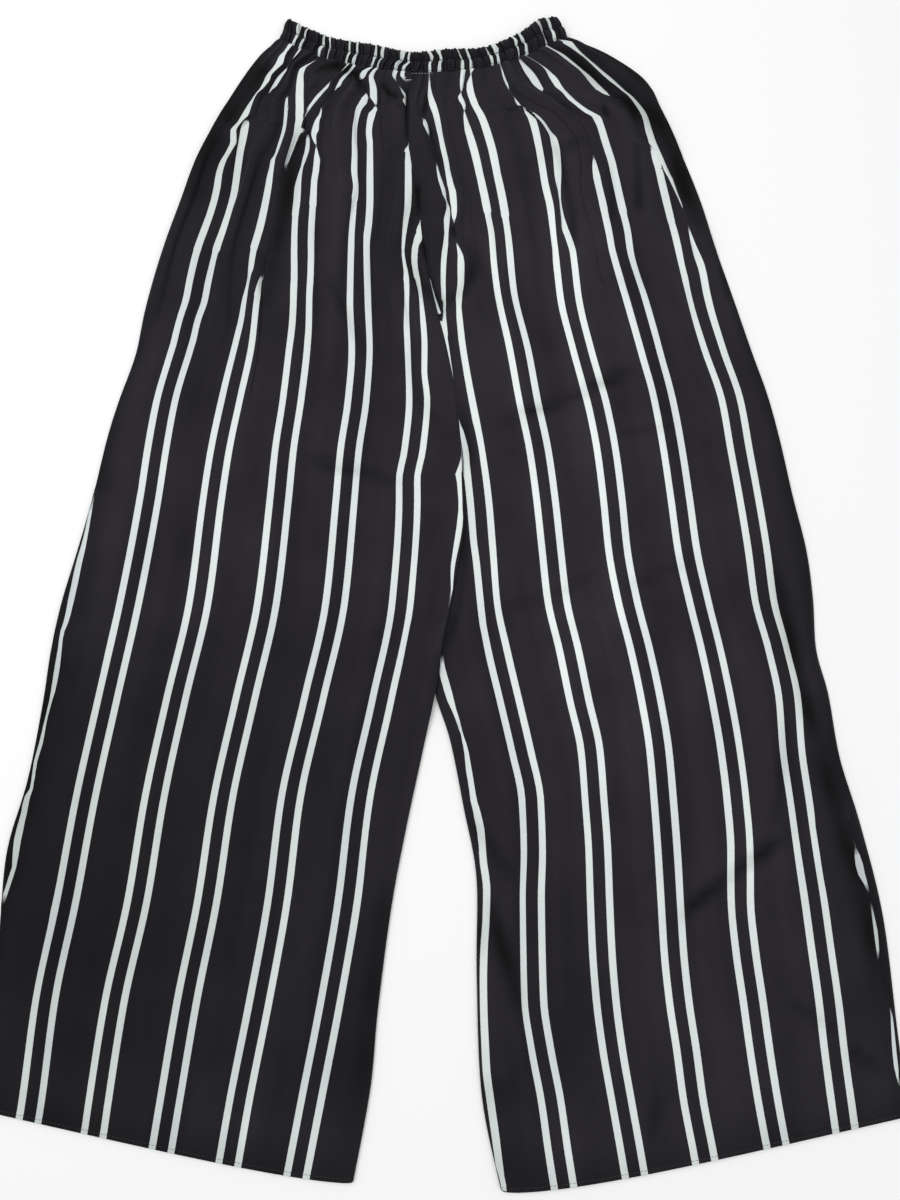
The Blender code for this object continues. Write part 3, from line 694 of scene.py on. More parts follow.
def placesAlong(line, at):
    # x and y at these lengths along a line of (x, y, length along it)
    x, y, along = line
    return np.interp(at, along, x), np.interp(at, along, y)


def rightInnerEdge(y):
    rows = [row for row in legSections["right"] if legLift["endsY"] < row[1] < legLift["startsY"]]
    return np.interp(-y, [-row[1] for row in rows], [row[0] for row in rows])


def liftOver(x, y, ramp):
    # how far the left leg rises to lie over the right one
    rises = smoothStep(legLift["startsY"], legLift["fullY"], y)
    drops = smoothStep(legLift["endsY"], legLift["dropsY"], y)
    edge = rightInnerEdge(y) - legLift["margin"]
    return legLift["height"] * (rises * drops) * smoothStep(edge - ramp, edge, x)


def viewTrack(points, height):
    # a stripe's middle and width, from its places in the view
    track = []
    for across, down, *width in points:
        x, y = viewToCloth(across, down, height)
        reach = viewToCloth(across + width[0], down, height)[0] - x if width else math.nan
        track.append((x, y, reach))
    return track


def stripeOffset(stripe):
    # even stripes lie left of their pair's middle, odd ones right
    return cloth["stripeOffset"] * (-1 if stripe % 2 == 0 else 1)


def stripePlace(stripe, firstPair):
    # a stripe's cloth coordinate
    return (firstPair + stripe // 2) * cloth["pairPitch"] + stripeOffset(stripe)


def stripeTrack(leg, stripe):
    track = viewTrack(gatherTracks[leg][stripe], cloth["gatheredTop"])
    lastDown = gatherTracks[leg][stripe][-1][1]
    for down, across in pairTracks[leg][stripe // 2]:
        if down > lastDown + cloth["trackGap"]:
            x, y = viewToCloth(across, down, cloth["frontTop"])
            track.append((x + stripeOffset(stripe) * cloth["pairSpread"], y, math.nan))
    return track


def viewHeight(down):
    return viewToCloth(view["width"] / 2, down, cloth["frontTop"])[1]


def legStripes(leg):
    # every stripe from left to right: (cloth coordinate, track, hidden between these heights)
    firstPair = cloth["leftmostPair"] if leg == "left" else 0
    found = []
    for stripe in range(len(gatherTracks[leg])):
        hidden = [viewHeight(down) for down in hiddenStripes[leg].get(stripe, (0, 0))]
        found.append((stripePlace(stripe, firstPair), stripeTrack(leg, stripe), hidden))
    for place, points in edgeStripes[leg]:
        found.append((place, viewTrack(points, cloth["frontTop"]), None))
    return sorted(found, key=lambda stripe: stripe[0])


legTracks = {leg: legStripes(leg) for leg in ("left", "right")}


def crossing(track, x, y, along):
    # where a stripe crosses a row: (length along the row, height, the stripe's width along the row)
    xs, heights, widths = np.array(track).T
    beside = x - through(heights, xs, y)
    found = np.nonzero((beside[:-1] < 0) & (beside[1:] >= 0))[0]
    if not len(found):
        return None
    k = found[0]
    at = along[k] + (along[k + 1] - along[k]) * -beside[k] / (beside[k + 1] - beside[k])
    height = np.interp(at, along, y)
    width = np.interp(-height, -heights, widths)
    lean = (through(heights, xs, height + 1) - through(heights, xs, height - 1)) / 2
    slope = (y[k + 1] - y[k]) / (x[k + 1] - x[k])
    return at, height, width / max(1 - lean * slope, 0.4) * math.hypot(1, slope)


def addStations(stations, place, at, width, last, end):
    # a stripe whose width is known is held at both its edges, any other at its middle
    half = cloth["stripeWidth"] / 2
    marks = [(place - half, at - width / 2), (place + half, at + width / 2)]
    if math.isnan(width):
        marks = [(place, at)]
    for mark in marks:
        if stations[-1][0] + 1 < mark[0] < last - 1 and stations[-1][1] + 0.03 < mark[1] < end - 0.4:
            stations.append(mark)


def edgePlaces(leg, leftY, rightY):
    # cloth coordinates of a row's two ends
    pitch = cloth["pairPitch"]
    inner, outer = edgeCloth[leg]["inner"], edgeCloth[leg]["outer"]

    def pitches(rows, y):
        return float(through([viewHeight(down) for down, _ in rows], [value for _, value in rows], y))

    edgePair = -cloth["leftmostPair"] * pitch
    if leg == "left":
        return -edgePair - pitch * pitches(outer, leftY), pitch * pitches(inner, rightY)
    return -pitch * pitches(inner, leftY), edgePair + pitch * pitches(outer, rightY)


def rowStations(leg, level):
    # where known places of the cloth lie along a row, as (cloth coordinate, length along the row), and
    # how much of each known stripe shows there
    x, y, peek = rowLine(leg, level)
    along = lengthAlong(x, y)
    first, last = edgePlaces(leg, y[0], y[-1])
    stations = [(first, 0.0)]
    shown = {}
    for place, track, hidden in legTracks[leg]:
        found = crossing(track, x, y, along)
        if found is None:
            if hidden is None:
                shown.setdefault(place, 0.0)
            continue
        at, height, width = found
        if hidden is None:
            within = track[-1][1] < height < track[0][1]
            beyond = cloth["heldBeyond"]
            held = track[-1][1] - beyond < height < track[0][1] + beyond
        else:
            within = held = not hidden[1] < height < hidden[0]
        share = 1.0 if math.isnan(width) else float(smoothStep(*cloth["thinnest"], width))
        shown[place] = max(shown.get(place, 0.0), share * within)
        if held:
            addStations(stations, place, at, width, last, along[-1])
    stations.append((last, along[-1]))
    return x, y, along, peek, np.array(stations), shown


def laidFoldsAt(leg, x, y, along, stations):
    # the strips that folds hide in this row: (middle, width, which side lies on top)
    found = []
    for fold in laidFolds[leg]:
        heights = np.array([viewHeight(row[0]) for row in fold["rows"]])
        widths = [row[2] - row[1] for row in fold["rows"]]
        middles = [(row[1] + row[2]) / 2 for row in fold["rows"]]
        guess = np.median(middles)
        for _ in range(2):
            at = np.interp(guess, stations[:, 0], stations[:, 1])
            rowY = np.interp(at, along, y)
            guess = np.interp(-rowY, -heights, middles)
        inside = smoothStep(heights[0] + 5, heights[0], rowY)
        inside *= smoothStep(heights[-1] - 5, heights[-1], rowY)
        width = np.interp(-rowY, -heights, widths) * inside
        # the cloth turns back in the half of the strip that hangs on the upper layer
        side = 1 if fold["top"] == "right" else -1
        found.append([guess + side * max(width / 2 - grid["turn"], 0) / 2, width, side])
    return sorted(found)


def columnPlaces(folds, first, last, shares):
    # columns stand close together at the turns of folds and at the edges
    turn = grid["turn"]
    edge = [0.0, 0.35, 0.9, 1.7, 2.8]
    pieces = [first + np.array(edge)]
    start = first + edge[-1]
    for (middle, width, _), share in zip(folds, shares):
        flat = max(width / 2 - turn, 0) / 2
        half = flat + turn
        middle = min(max(middle, start + half + 0.6), last - edge[-1] - half - 1.5)
        pieces.append(np.linspace(start, middle - half, share + 1)[1:-1])
        turns = np.array([0, 0.2, 0.4, 0.6, 0.8, 1.0]) * turn
        pieces.append(np.concatenate((middle - half + turns, middle + flat + turns)))
        start = middle + half
    pieces.append(np.linspace(start, last - edge[-1], shares[-1] + 1)[1:-1])
    pieces.append(last - np.array(edge[::-1]))
    return np.concatenate(pieces)


def spareShares(leg):
    # how many plain columns go between one fold and the next
    x, y, along, _, stations, _ = rowStations(leg, 3.0)
    folds = laidFoldsAt(leg, x, y, along, stations)
    places = [stations[0, 0]] + [fold[0] for fold in folds] + [stations[-1, 0]]
    gaps = np.maximum(np.diff(places), 4)
    return [max(int(round(gap)), 3) for gap in gaps / gaps.sum() * grid["spareColumns"]]


def foldAngle(places, folds):
    # the cloth's slope along a row where a laid fold turns it back and forth
    turn = grid["turn"]
    angle = np.zeros_like(places)
    for middle, width, side in folds:
        flat = max(width / 2 - turn, 0) / 2
        peak = math.pi * smoothStep(0, 2 * turn, width)
        angle += side * peak * smoothStep(flat + turn, flat, np.abs(places - middle))
    return angle


def stripesShown(columns, shown):
    # 1 where the cloth's stripes are seen, 0 where a fold has taken them under
    share = np.ones_like(columns)
    reach = cloth["stripeWidth"] / 2 + cloth["besideStripe"]
    for place, amount in shown.items():
        share = np.where(np.abs(columns - place) < reach, amount, share)
    return share


def layersApart(z, at, columns, folds):
    # in a laid fold the cloth that turns back lies under the top layer, and the rest under both
    turn, gap = grid["turn"], 0.3
    lowest = cloth["backTop"] + 0.2
    for middle, width, side in folds:
        if width < 2.2 * turn:
            continue
        flat = (width / 2 - turn) / 2
        beyond = (middle - columns) * side
        reach = -side * at
        top = (beyond < -flat - turn / 2) & (beyond > -flat - 60)
        order = np.argsort(reach[top])
        edge = reach[top][order][-1]
        z = np.where(top & (reach > edge - 14), np.maximum(z, lowest + 2.2 * gap), z)
        over = np.interp(reach, reach[top][order], z[top][order])
        turned = (beyond >= -flat - turn / 2) & (beyond <= flat + turn / 2)
        covered = top & (reach > reach[turned].min())
        cap = (z[covered].min() if covered.any() else z[top][order][-1]) - gap
        under = np.where(beyond > 0, cap, over - gap * smoothStep(-flat - turn / 2, -flat, beyond))
        z = np.where(turned, np.minimum(z, under), z)
        beneath = (beyond > flat + turn / 2) & (beyond < 2 * flat + 40) & (reach < edge + 2)
        climb = 3 * smoothStep(edge - 0.5, edge + 2, reach)  # up again beside the top layer's edge
        z = np.where(beneath, np.minimum(z, cap - gap + climb), z)
    return np.maximum(z, lowest)


def gatherWave(places, fall):
    total, weight = np.zeros_like(places), 0.0
    for k, (length, fadesFrom, fadesTo, strength) in enumerate(gathers["waves"]):
        strength = strength * (1 - smoothStep(fadesFrom, fadesTo, fall))
        drift = 0.9 * np.sin(places / 31 + fall / 43 + 2 * k) + 0.7 * math.sin(fall / 29 + k)
        total += strength * np.sin(2 * math.pi * places / length + drift)
        weight += strength
    return total / max(weight, 0.35)


def steepnessFor(wave, angle, steps, wanted, steepest):
    # the steepest slope of the gathers that lets this much cloth lie in the wanted width
    low, high = 0.0, steepest
    if np.sum(np.cos(angle) * steps) <= wanted:
        return 0.0
    for _ in range(14):
        middle = (low + high) / 2
        if np.sum(np.cos(wave * middle + angle) * steps) > wanted:
            low = middle
        else:
            high = middle
    return low


def betweenColumns(columns):
    # middles of the steps from column to column, and their lengths
    return (columns[1:] + columns[:-1]) / 2, np.diff(columns)


def steepnessAlong(stations, middles, steps, wave, angle, steepest):
    # for each stretch between two known places: its middle, and how steep its waves are
    found = []
    for (fromPlace, fromAt), (toPlace, toAt) in zip(stations[:-1], stations[1:]):
        here = (middles >= fromPlace) & (middles < toPlace)
        found.append(steepnessFor(wave[here], angle[here], steps[here], toAt - fromAt, steepest))
    return (stations[1:, 0] + stations[:-1, 0]) / 2, found


def clothLine(angle, steps):
    # how far along and how high the cloth has come at each column, from its slopes between them
    return runningSum(np.cos(angle) * steps), runningSum(np.sin(angle) * steps)


def smoothOver(values, places, reach):
    # a running mean along uneven places
    even = np.arange(places[0], places[-1] + 1, 1.0)
    level = np.interp(even, places, values)
    window = np.exp(-0.5 * (np.arange(-3 * reach, 3 * reach + 1) / reach) ** 2)
    padded = np.pad(level, int(3 * reach), mode="edge")
    return np.interp(places, even, np.convolve(padded, window / window.sum(), mode="valid"))


def pieceFrom(builder, name):
    mesh = bpy.data.meshes.new(name)
    builder.to_mesh(mesh)
    builder.free()
    piece = bpy.data.objects.new(name, mesh)
    bpy.context.scene.collection.objects.link(piece)
    return piece


def gridMesh(name, points, flatPlaces, undersides=None, shade=1.0, shown=1.0):
    # a grid of cloth laid out at the points (rows, columns, xyz in millimetres), with its flat
    # places as its UV map; with undersides it becomes a closed thin wall. Shade is the painted light
    # and shade at each point, and shown is where its stripes are seen.
    rows, columns = points.shape[0] - 1, points.shape[1] - 1
    builder = bmesh.new()
    bmesh.ops.create_grid(builder, x_segments=columns, y_segments=rows, size=0.5)
    rowLayer = builder.verts.layers.int.new("row")
    columnLayer = builder.verts.layers.int.new("column")
    tones = {}
    for key, values in (("shade", shade), ("shown", shown)):
        tones[builder.verts.layers.float.new(key)] = np.broadcast_to(values, points.shape[:2]).tolist()
    places = (points * mm).tolist()
    for vertex in builder.verts:
        row = round((0.5 - vertex.co.y) * rows)
        column = round((vertex.co.x + 0.5) * columns)
        vertex.co = places[row][column]
        vertex[rowLayer] = row
        vertex[columnLayer] = column
        for layer, values in tones.items():
            vertex[layer] = values[row][column]
    if undersides is not None:
        extruded = bmesh.ops.extrude_face_region(builder, geom=builder.faces[:], use_keep_orig=True)
        lower = {item for item in extruded["geom"] if isinstance(item, bmesh.types.BMVert)}
        depths = (undersides * mm).tolist()
        for vertex in lower:
            vertex.co.z = depths[vertex[rowLayer]][vertex[columnLayer]]
        bmesh.ops.recalc_face_normals(builder, faces=builder.faces)
    uvLayer = builder.loops.layers.uv.new("cloth")
    flat = (flatPlaces * mm).tolist()
    for face in builder.faces:
        face.smooth = True
        for loop in face.loops:
            loop[uvLayer].uv = flat[loop.vert[rowLayer]][loop.vert[columnLayer]]
    return pieceFrom(builder, name)


# Creases that the cloth keeps: a soft ridge (height above 0) or trough from one place of the view to
# another, with its reach to its left and right side as seen along its way
creases = [
    # (across, down) from, (across, down) to, height, reach on one side, reach on the other
    ((256, 75), (226, 108), -1.2, 5, 9),
    ((226, 108), (200, 160), 0.8, 7, 12),
    ((292, 122), (288, 200), -0.6, 4, 5),
    ((289, 192), (287, 246), -1.0, 2.2, 6),
    ((272, 210), (262, 300), -0.9, 7, 10),
    ((312, 73), (346, 73), 1.4, 5, 7),
    ((379, 82), (395, 97), -0.9, 2.5, 5),
    ((406, 106), (408, 141), -1.1, 3, 6),
    ((415, 85), (414, 101), -1.2, 3, 3),
    ((428, 97), (423, 116), -1.0, 3, 4),
    ((417, 180), (420, 222), -1.1, 3, 4),
    ((433, 84), (450, 84), -0.8, 3, 4),
    ((152, 308), (150, 358), -0.9, 4, 9),
    ((136, 366), (146, 400), 0.8, 5, 9),
    ((354, 362), (357, 374), -0.8, 3, 4),
    ((361, 470), (397, 470), -0.5, 6, 10),
    ((545, 406), (640, 364), -0.9, 9, 13),
    ((560, 418), (657, 380), 0.7, 10, 14),
    ((560, 130), (576, 188), -0.9, 3, 6),
    ((603, 104), (606, 116), -0.8, 3, 4),
    ((637, 186), (641, 214), -0.8, 3, 6),
    ((667, 292), (674, 362), -0.7, 5, 8),
    ((620, 438), (629, 464), -0.6, 6, 8),
    ((640, 584), (660, 584), 0.6, 8, 8),
    ((738, 570), (742, 594), -0.6, 4, 6),
    ((777, 724), (776, 804), -0.8, 6, 12),
    ((788, 640), (806, 664), -1.0, 7, 10),
    ((806, 726), (829, 778), -0.9, 5, 10),
    ((493, 800), (518, 858), 1.2, 8, 12),
    ((480, 790), (500, 850), -0.7, 7, 9),
    ((494, 918), (523, 1004), -1.1, 9, 14),
    ((506, 900), (540, 1000), 0.7, 10, 14),
    ((755, 846), (683, 914), -1.0, 12, 18),
    ((780, 850), (715, 930), 0.8, 14, 18),
    ((842, 864), (868, 960), -1.1, 6, 9),
    ((856, 860), (880, 950), 0.9, 6, 9),
    ((852, 1022), (884, 996), -0.7, 7, 9),
    ((853, 1052), (883, 1069), 0.7, 8, 9),
    ((800, 1068), (833, 1101), -0.7, 7, 10),
    ((664, 1082), (653, 1122), -0.6, 6, 9),
    ((567, 874), (575, 930), -0.6, 6, 9),
    ((547, 840), (557, 882), 0.6, 6, 9),
    ((6, 962), (28, 958), -0.6, 7, 9),
    ((340, 1090), (362, 1070), 0.7, 8, 10),
    ((397, 715), (401, 752), -0.7, 8, 10),
    ((424, 680), (424, 706), -0.7, 7, 9),
    ((100, 560), (82, 640), -0.6, 9, 16),
    ((210, 640), (180, 780), 0.5, 16, 22),
    ((300, 700), (262, 860), -0.5, 16, 24),
    ((330, 520), (318, 620), 0.5, 14, 20),
    ((120, 930), (98, 1060), -0.5, 14, 20),
    ((250, 960), (228, 1100), 0.5, 14, 20),
    ((640, 930), (668, 1060), 0.6, 16, 22),
    ((600, 620), (628, 740), -0.5, 14, 20),
    ((690, 560), (716, 660), 0.5, 14, 20),
    ((455, 470), (470, 484), 0.8, 5, 6),
]


# Painted shade, deep or soft, in the cloth's folds and along its edges: places along a line in
# the view, how much light it takes, and its reach
shadeLines = [
    ([(270, 60), (246, 92), (222, 125)], 0.52, 9),
    ([(222, 125), (205, 165), (190, 205)], 0.30, 12),
    ([(306, 124), (299, 145), (290, 178), (284, 215), (274, 255)], 0.58, 7),
    ([(274, 255), (262, 310)], 0.30, 9),
    ([(312, 78), (320, 70), (338, 66), (354, 74), (366, 95)], 0.62, 4),
    ([(380, 82), (388, 92), (400, 100)], 0.50, 3),
    ([(405, 83), (407, 107), (407, 142)], 0.60, 2.4),
    ([(418, 183), (419, 218)], 0.65, 2.6),
    ([(422, 240), (426, 262)], 0.50, 2.6),
    ([(428, 92), (423, 118)], 0.50, 2.6),
    ([(427, 122), (434, 150), (441, 168)], 0.50, 4),
    ([
        (412, 178), (411, 222), (412, 262), (420, 286), (440, 302), (462, 292), (474, 268), (470, 240),
    ], 0.34, 6),
    ([(452, 225), (455, 240)], 0.50, 2.4),
    ([(540, 44), (568, 54), (600, 84), (630, 109), (644, 121)], 0.52, 5),
    ([(578, 47), (600, 66), (626, 90), (648, 124), (655, 146)], 0.42, 6.5),
    ([(640, 93), (661, 125), (674, 152), (685, 190), (698, 226)], 0.64, 8),
    ([(592, 42), (630, 62), (650, 90)], 0.28, 9),
    ([(548, 130), (560, 160), (572, 212), (574, 250)], 0.32, 4),
    ([(603, 104), (608, 118)], 0.45, 2.2),
    ([(636, 140), (639, 215)], 0.30, 4),
    ([(610, 165), (613, 222)], 0.25, 3.5),
    ([(520, 165), (592, 136)], 0.14, 6),
    ([(326, 276), (345, 310), (363, 352)], 0.25, 5),
    ([(400, 348), (420, 398), (440, 430)], 0.16, 6),
    ([(460, 398), (472, 470)], 0.32, 5),
    ([(467, 500), (464, 560), (458, 610), (440, 660), (431, 712)], 0.30, 4.5),
    ([(300, 459), (350, 468), (400, 484)], 0.36, 5),
    ([(500, 421), (560, 402), (640, 366)], 0.38, 5),
    ([(612, 437), (680, 424)], 0.14, 5),
    ([(500, 612), (560, 592), (600, 572)], 0.14, 6),
    ([(622, 590), (700, 556)], 0.14, 5),
    ([(540, 642), (600, 618)], 0.10, 6),
    ([(716, 262), (742, 300), (752, 340)], 0.30, 8),
    ([(772, 560), (790, 640), (801, 690), (818, 742)], 0.56, 7.5),
    ([(818, 742), (842, 830), (866, 905), (878, 985)], 0.48, 8),
    ([(786, 705), (783, 770), (772, 832)], 0.20, 5),
    ([(672, 925), (702, 898), (742, 868), (790, 832)], 0.46, 6),
    ([(487, 893), (503, 950), (521, 1012)], 0.52, 7),
    ([(470, 815), (492, 850), (516, 882)], 0.28, 7),
    ([(476, 915), (478, 960)], 0.30, 8),
    ([(790, 1003), (842, 1034)], 0.22, 5),
    ([(846, 1046), (884, 1072)], 0.26, 5),
    ([(650, 1142), (658, 1098)], 0.22, 6),
    ([(387, 880), (372, 1000), (356, 1150)], 0.28, 12),
    ([(489, 1070), (503, 1185)], 0.28, 18),
    ([(42, 690), (40, 725)], 0.45, 7),
    ([(36, 745), (16, 830), (0, 900)], 0.30, 12),
    ([(66, 640), (44, 700), (22, 790)], 0.20, 18),
]

# Broad painted light and shade on the fronts: middle in the view, reach across and down, and how
# much lighter (above 0) or darker they are
shadeSpots = [
    ((40, 930), 150, 240, -0.38),
    ((200, 880), 160, 180, -0.16),
    ((330, 1080), 70, 120, -0.08),
    ((210, 190), 60, 110, -0.24),
    ((275, 720), 170, 60, -0.10),
    ((345, 195), 26, 80, 0.10),
    ((220, 520), 90, 110, 0.08),
    ((600, 480), 120, 200, 0.22),
    ((600, 700), 130, 130, 0.14),
    ((560, 250), 90, 110, 0.10),
    ((780, 470), 40, 160, -0.16),
    ((560, 960), 70, 110, -0.06),
    ((720, 960), 120, 110, 0.04),
    ((860, 1010), 40, 120, -0.14),
]


# Powers that deepen the painted shade and light of the two tables above
depth = {"folds": 1.9, "spots": 1.4}


# painted shade and light for the fronts' colour, from the two tables above
def shadeAt(x, y):
    folds, shade = np.ones_like(x), np.ones_like(x)
    for line, strength, reach in shadeLines:
        away, passed, total = np.full_like(x, 1e3), np.zeros_like(x), 0.0
        places = [viewToCloth(*place, cloth["frontTop"]) for place in line]
        for (ax, ay), (bx, by) in zip(places[:-1], places[1:]):
            length = math.hypot(bx - ax, by - ay)
            along = np.clip(((x - ax) * (bx - ax) + (y - ay) * (by - ay)) / length**2, 0, 1)
            distance = np.hypot(x - ax - along * (bx - ax), y - ay - along * (by - ay))
            passed = np.where(distance < away, total + along * length, passed)
            away = np.minimum(away, distance)
            total += length
        ends = smoothStep(-0.08, 0.22, passed / total) * smoothStep(1.08, 0.78, passed / total)
        uneven = 1 + 0.25 * np.sin(passed / 11 + total)
        folds *= 1 - strength * ends * uneven * bell(away, reach)
    for place, reachX, reachY, gain in shadeSpots:
        ax, ay = viewToCloth(*place, cloth["frontTop"])
        shade *= 1 + gain * np.exp(-(((x - ax) / reachX) ** 2) - ((y - ay) / reachY) ** 2)
    return folds ** depth["folds"] * shade ** depth["spots"]


def creaseHeight(x, y):
    total = np.zeros_like(x)
    for start, end, height, leftReach, rightReach in creases:
        ax, ay = viewToCloth(*start, cloth["frontTop"])
        bx, by = viewToCloth(*end, cloth["frontTop"])
        length = math.hypot(bx - ax, by - ay)
        along = ((x - ax) * (bx - ax) + (y - ay) * (by - ay)) / length**2
        aside = ((x - ax) * (by - ay) - (y - ay) * (bx - ax)) / length
        ends = smoothStep(-0.3, 0.3, along) * smoothStep(1.3, 0.7, along)
        total += height * ends * bell(aside, np.where(aside < 0, leftReach, rightReach))
    return total


def rowFalls(leg):
    # how far below the seam each section's middle lies
    middles = []
    for level in range(len(legSections[leg])):
        x, y, _ = rowLine(leg, level, 41)
        middles.append((x[20], y[20]))
    middles = np.array(middles)
    return lengthAlong(middles[:, 0], middles[:, 1])


def rowAt(leg, falls, fall):
    # the row this far below the seam
    return rowStations(leg, float(np.interp(fall, falls, np.arange(len(falls)))))


# Names that end in From, To or Full are distances below the seam, or above the hem for its shade
front = {
    "gatheredRise": 0.9,  # the gathers lift the cloth
    "gatheredFrom": 10,
    "gatheredTo": 260,
    "waistRise": 0.5,  # and so does the casing
    "waistRiseTo": 60,
    "seamRelief": 0.2,  # share of the waves' height at the seam
    "reliefFull": 9,
    "creasesFull": 25,
    "clearance": 0.5,  # of the lowest waves over the back panel
    "softening": (0.25, 0.35),  # how gently they stop there: height and reach
    "edgeHeight": 0.15,  # of the panel's edges over the back panel
    "edgeRadius": 2.4,
    "seamOpens": (98, 86),  # the centre seam parts into two inseams between these y
    "seamGroove": (0.9, 1.3),  # depth and reach
    # painted shade along the outer edge, where the cloth turns away from the light
    "edgeShade": (0.3, 7.0),  # how much, and its reach
    # painted shade towards the hem
    "hemShade": 0.36,
    "hemShadeFrom": 42,
    "hemShadeFull": 6,
    "evenPlaces": (-330, 330, 221),  # where the waves are evened out from row to row
}

hem = {
    "turned": 9.0,
    "stitchUp": 6.0,
    "thicker": 0.35,
    "groove": 0.3,
    "grooveReach": 0.45,
    "radius": 1.2,
    "edgeHeight": 0.45,  # share of the cloth's height that its lower edge keeps
    "rows": [9.6, 9.0, 8.2, 7.2, 6.5, 6.0, 5.5, 4.5, 3.0, 1.7, 0.8, 0.3, 0.0],
}


def frontFalls(total):
    # rows stand close together in the gathers and at the hem
    falls = [0.0, 0.5, 1.2, 2.2]
    hemTop = total - hem["rows"][0]
    while falls[-1] < hemTop - 6:
        here = falls[-1]
        falls.append(here + (1.9 if here < 110 else 3.0 if here < 300 else 8.0))
    falls = [fall for fall in falls if fall < hemTop - 1]
    return np.array(falls + [total - up for up in hem["rows"]])


def frontRows(leg, falls):
    # every row of a front panel, before its waves are given their steepness
    shares = spareShares(leg)
    rows = []
    for fall in frontFalls(falls[-1]):
        x, y, along, _, stations, shown = rowAt(leg, falls, fall)
        folds = laidFoldsAt(leg, x, y, along, stations)
        columns = columnPlaces(folds, stations[0, 0], stations[-1, 0], shares)
        middles, steps = betweenColumns(columns)
        angle = foldAngle(middles, folds)
        rows.append({
            "fall": fall,
            "line": (x, y, along),
            "stations": stations,
            "folds": folds,
            "columns": columns,
            "middles": middles,
            "steps": steps,
            "angle": angle,
            "wave": gatherWave(middles, fall) * (1 - smoothStep(0.0, 0.6, np.abs(angle))),
            "shown": stripesShown(columns, shown),
        })
    return rows


def evenSteepness(rows, evenPlaces):
    # how steep the waves are in every row at these places, evened out from row to row
    steepness = np.zeros((len(rows), len(evenPlaces)))
    for index, row in enumerate(rows):
        centres, found = steepnessAlong(
            row["stations"], row["middles"], row["steps"], row["wave"], row["angle"], gathers["steepest"]
        )
        steepness[index] = np.interp(evenPlaces, centres, found)
    for _ in range(3):
        padded = np.vstack((steepness[:1], steepness, steepness[-1:]))
        steepness = (padded[:-2] + 2 * padded[1:-1] + padded[2:]) / 4
    return steepness


def edgesRounded(z, fromOuter, fromInner, openSeam, hemUp):
    # the cloth turns down at its outseam, its inseam and its hem, and dips at the centre seam
    low = cloth["backTop"] + front["edgeHeight"]
    z = low + (z - low) * rounded(fromOuter, front["edgeRadius"])
    turned = low + (z - low) * rounded(fromInner, front["edgeRadius"])
    z = z * (1 - openSeam) + turned * openSeam
    groove, reach = front["seamGroove"]
    z -= (1 - openSeam) * groove * bell(fromInner, reach)
    kept = hem["edgeHeight"]
    return low + (z - low) * (kept + (1 - kept) * rounded(hemUp, hem["radius"]))


def frontPanel(leg, name):
    falls = rowFalls(leg)
    total = falls[-1]
    rows = frontRows(leg, falls)
    evenPlaces = np.linspace(*front["evenPlaces"])
    steepness = evenSteepness(rows, evenPlaces)
    points = np.zeros((len(rows), len(rows[0]["columns"]), 3))
    flatPlaces = np.zeros(points.shape[:2] + (2,))
    shade = np.zeros(points.shape[:2])
    highest, lowest = gathers["highest"], -gathers["lowest"]
    lowestZ = cloth["backTop"] + front["clearance"]
    softening, softeningReach = front["softening"]
    edgeShade, edgeShadeReach = front["edgeShade"]
    for index, row in enumerate(rows):
        columns, stations, fall = row["columns"], row["stations"], row["fall"]
        hemUp = total - fall
        angle = row["angle"] + row["wave"] * np.interp(row["middles"], evenPlaces, steepness[index])
        run, climb = clothLine(angle, row["steps"])
        marks = np.interp(stations[:, 0], columns, run)
        marks = np.maximum.accumulate(marks + np.arange(len(marks)) * 0.01)
        at = np.interp(run, marks, stations[:, 1])
        at += np.minimum(run - marks[0], 0) + np.maximum(run - marks[-1], 0)
        at = np.clip(at, 0, row["line"][2][-1])
        x, y = placesAlong(row["line"], at)

        relief = climb - smoothOver(climb, columns, gathers["meanReach"])
        raised, sunk = highest * np.tanh(relief / highest), lowest * np.tanh(relief / lowest)
        relief = np.where(relief > 0, raised, sunk)
        relief *= front["seamRelief"] + (1 - front["seamRelief"]) * smoothStep(0, front["reliefFull"], fall)
        gathered = 1 - smoothStep(front["gatheredFrom"], front["gatheredTo"], fall)
        byWaist = 1 - smoothStep(0, front["waistRiseTo"], fall)
        z = cloth["frontTop"] + front["gatheredRise"] * gathered + front["waistRise"] * byWaist + relief
        z += creaseHeight(x, y) * smoothStep(0, front["creasesFull"], fall)
        z = np.maximum(z, lowestZ) + softening * np.exp(-np.abs(z - lowestZ) / softeningReach)
        z = layersApart(z, at, columns, row["folds"])
        z += hem["thicker"] * smoothStep(hem["turned"] + 0.5, hem["turned"] - 0.5, hemUp)
        z -= hem["groove"] * bell(hemUp - hem["stitchUp"], hem["grooveReach"])

        lift = liftOver(x, y, legLift["ramp"]) if leg == "left" else np.zeros_like(x)
        fromLeft, fromRight = columns - columns[0], columns[-1] - columns
        fromOuter, fromInner = (fromLeft, fromRight) if leg == "left" else (fromRight, fromLeft)
        openSeam = smoothStep(*front["seamOpens"], y[-1] if leg == "left" else y[0])
        z = edgesRounded(z, fromOuter, fromInner, openSeam, hemUp)
        points[index] = placed(x, y, z + lift)
        flatPlaces[index] = np.stack((columns, np.full_like(columns, -fall)), axis=1)
        # painted shade along the outer edge and towards the hem, on top of the painted shade and light of
        # shadeAt
        edgeShading = 1 - edgeShade * bell(fromOuter, edgeShadeReach)
        hemShading = front["hemShade"] * smoothStep(front["hemShadeFrom"], front["hemShadeFull"], hemUp)
        shade[index] = shadeAt(x, y) * edgeShading * (1 - hemShading)
    shown = np.array([row["shown"] for row in rows])
    piece = gridMesh(name, points, flatPlaces, shade=shade, shown=shown)
    return {"piece": piece, "points": points, "flat": flatPlaces, "total": total}


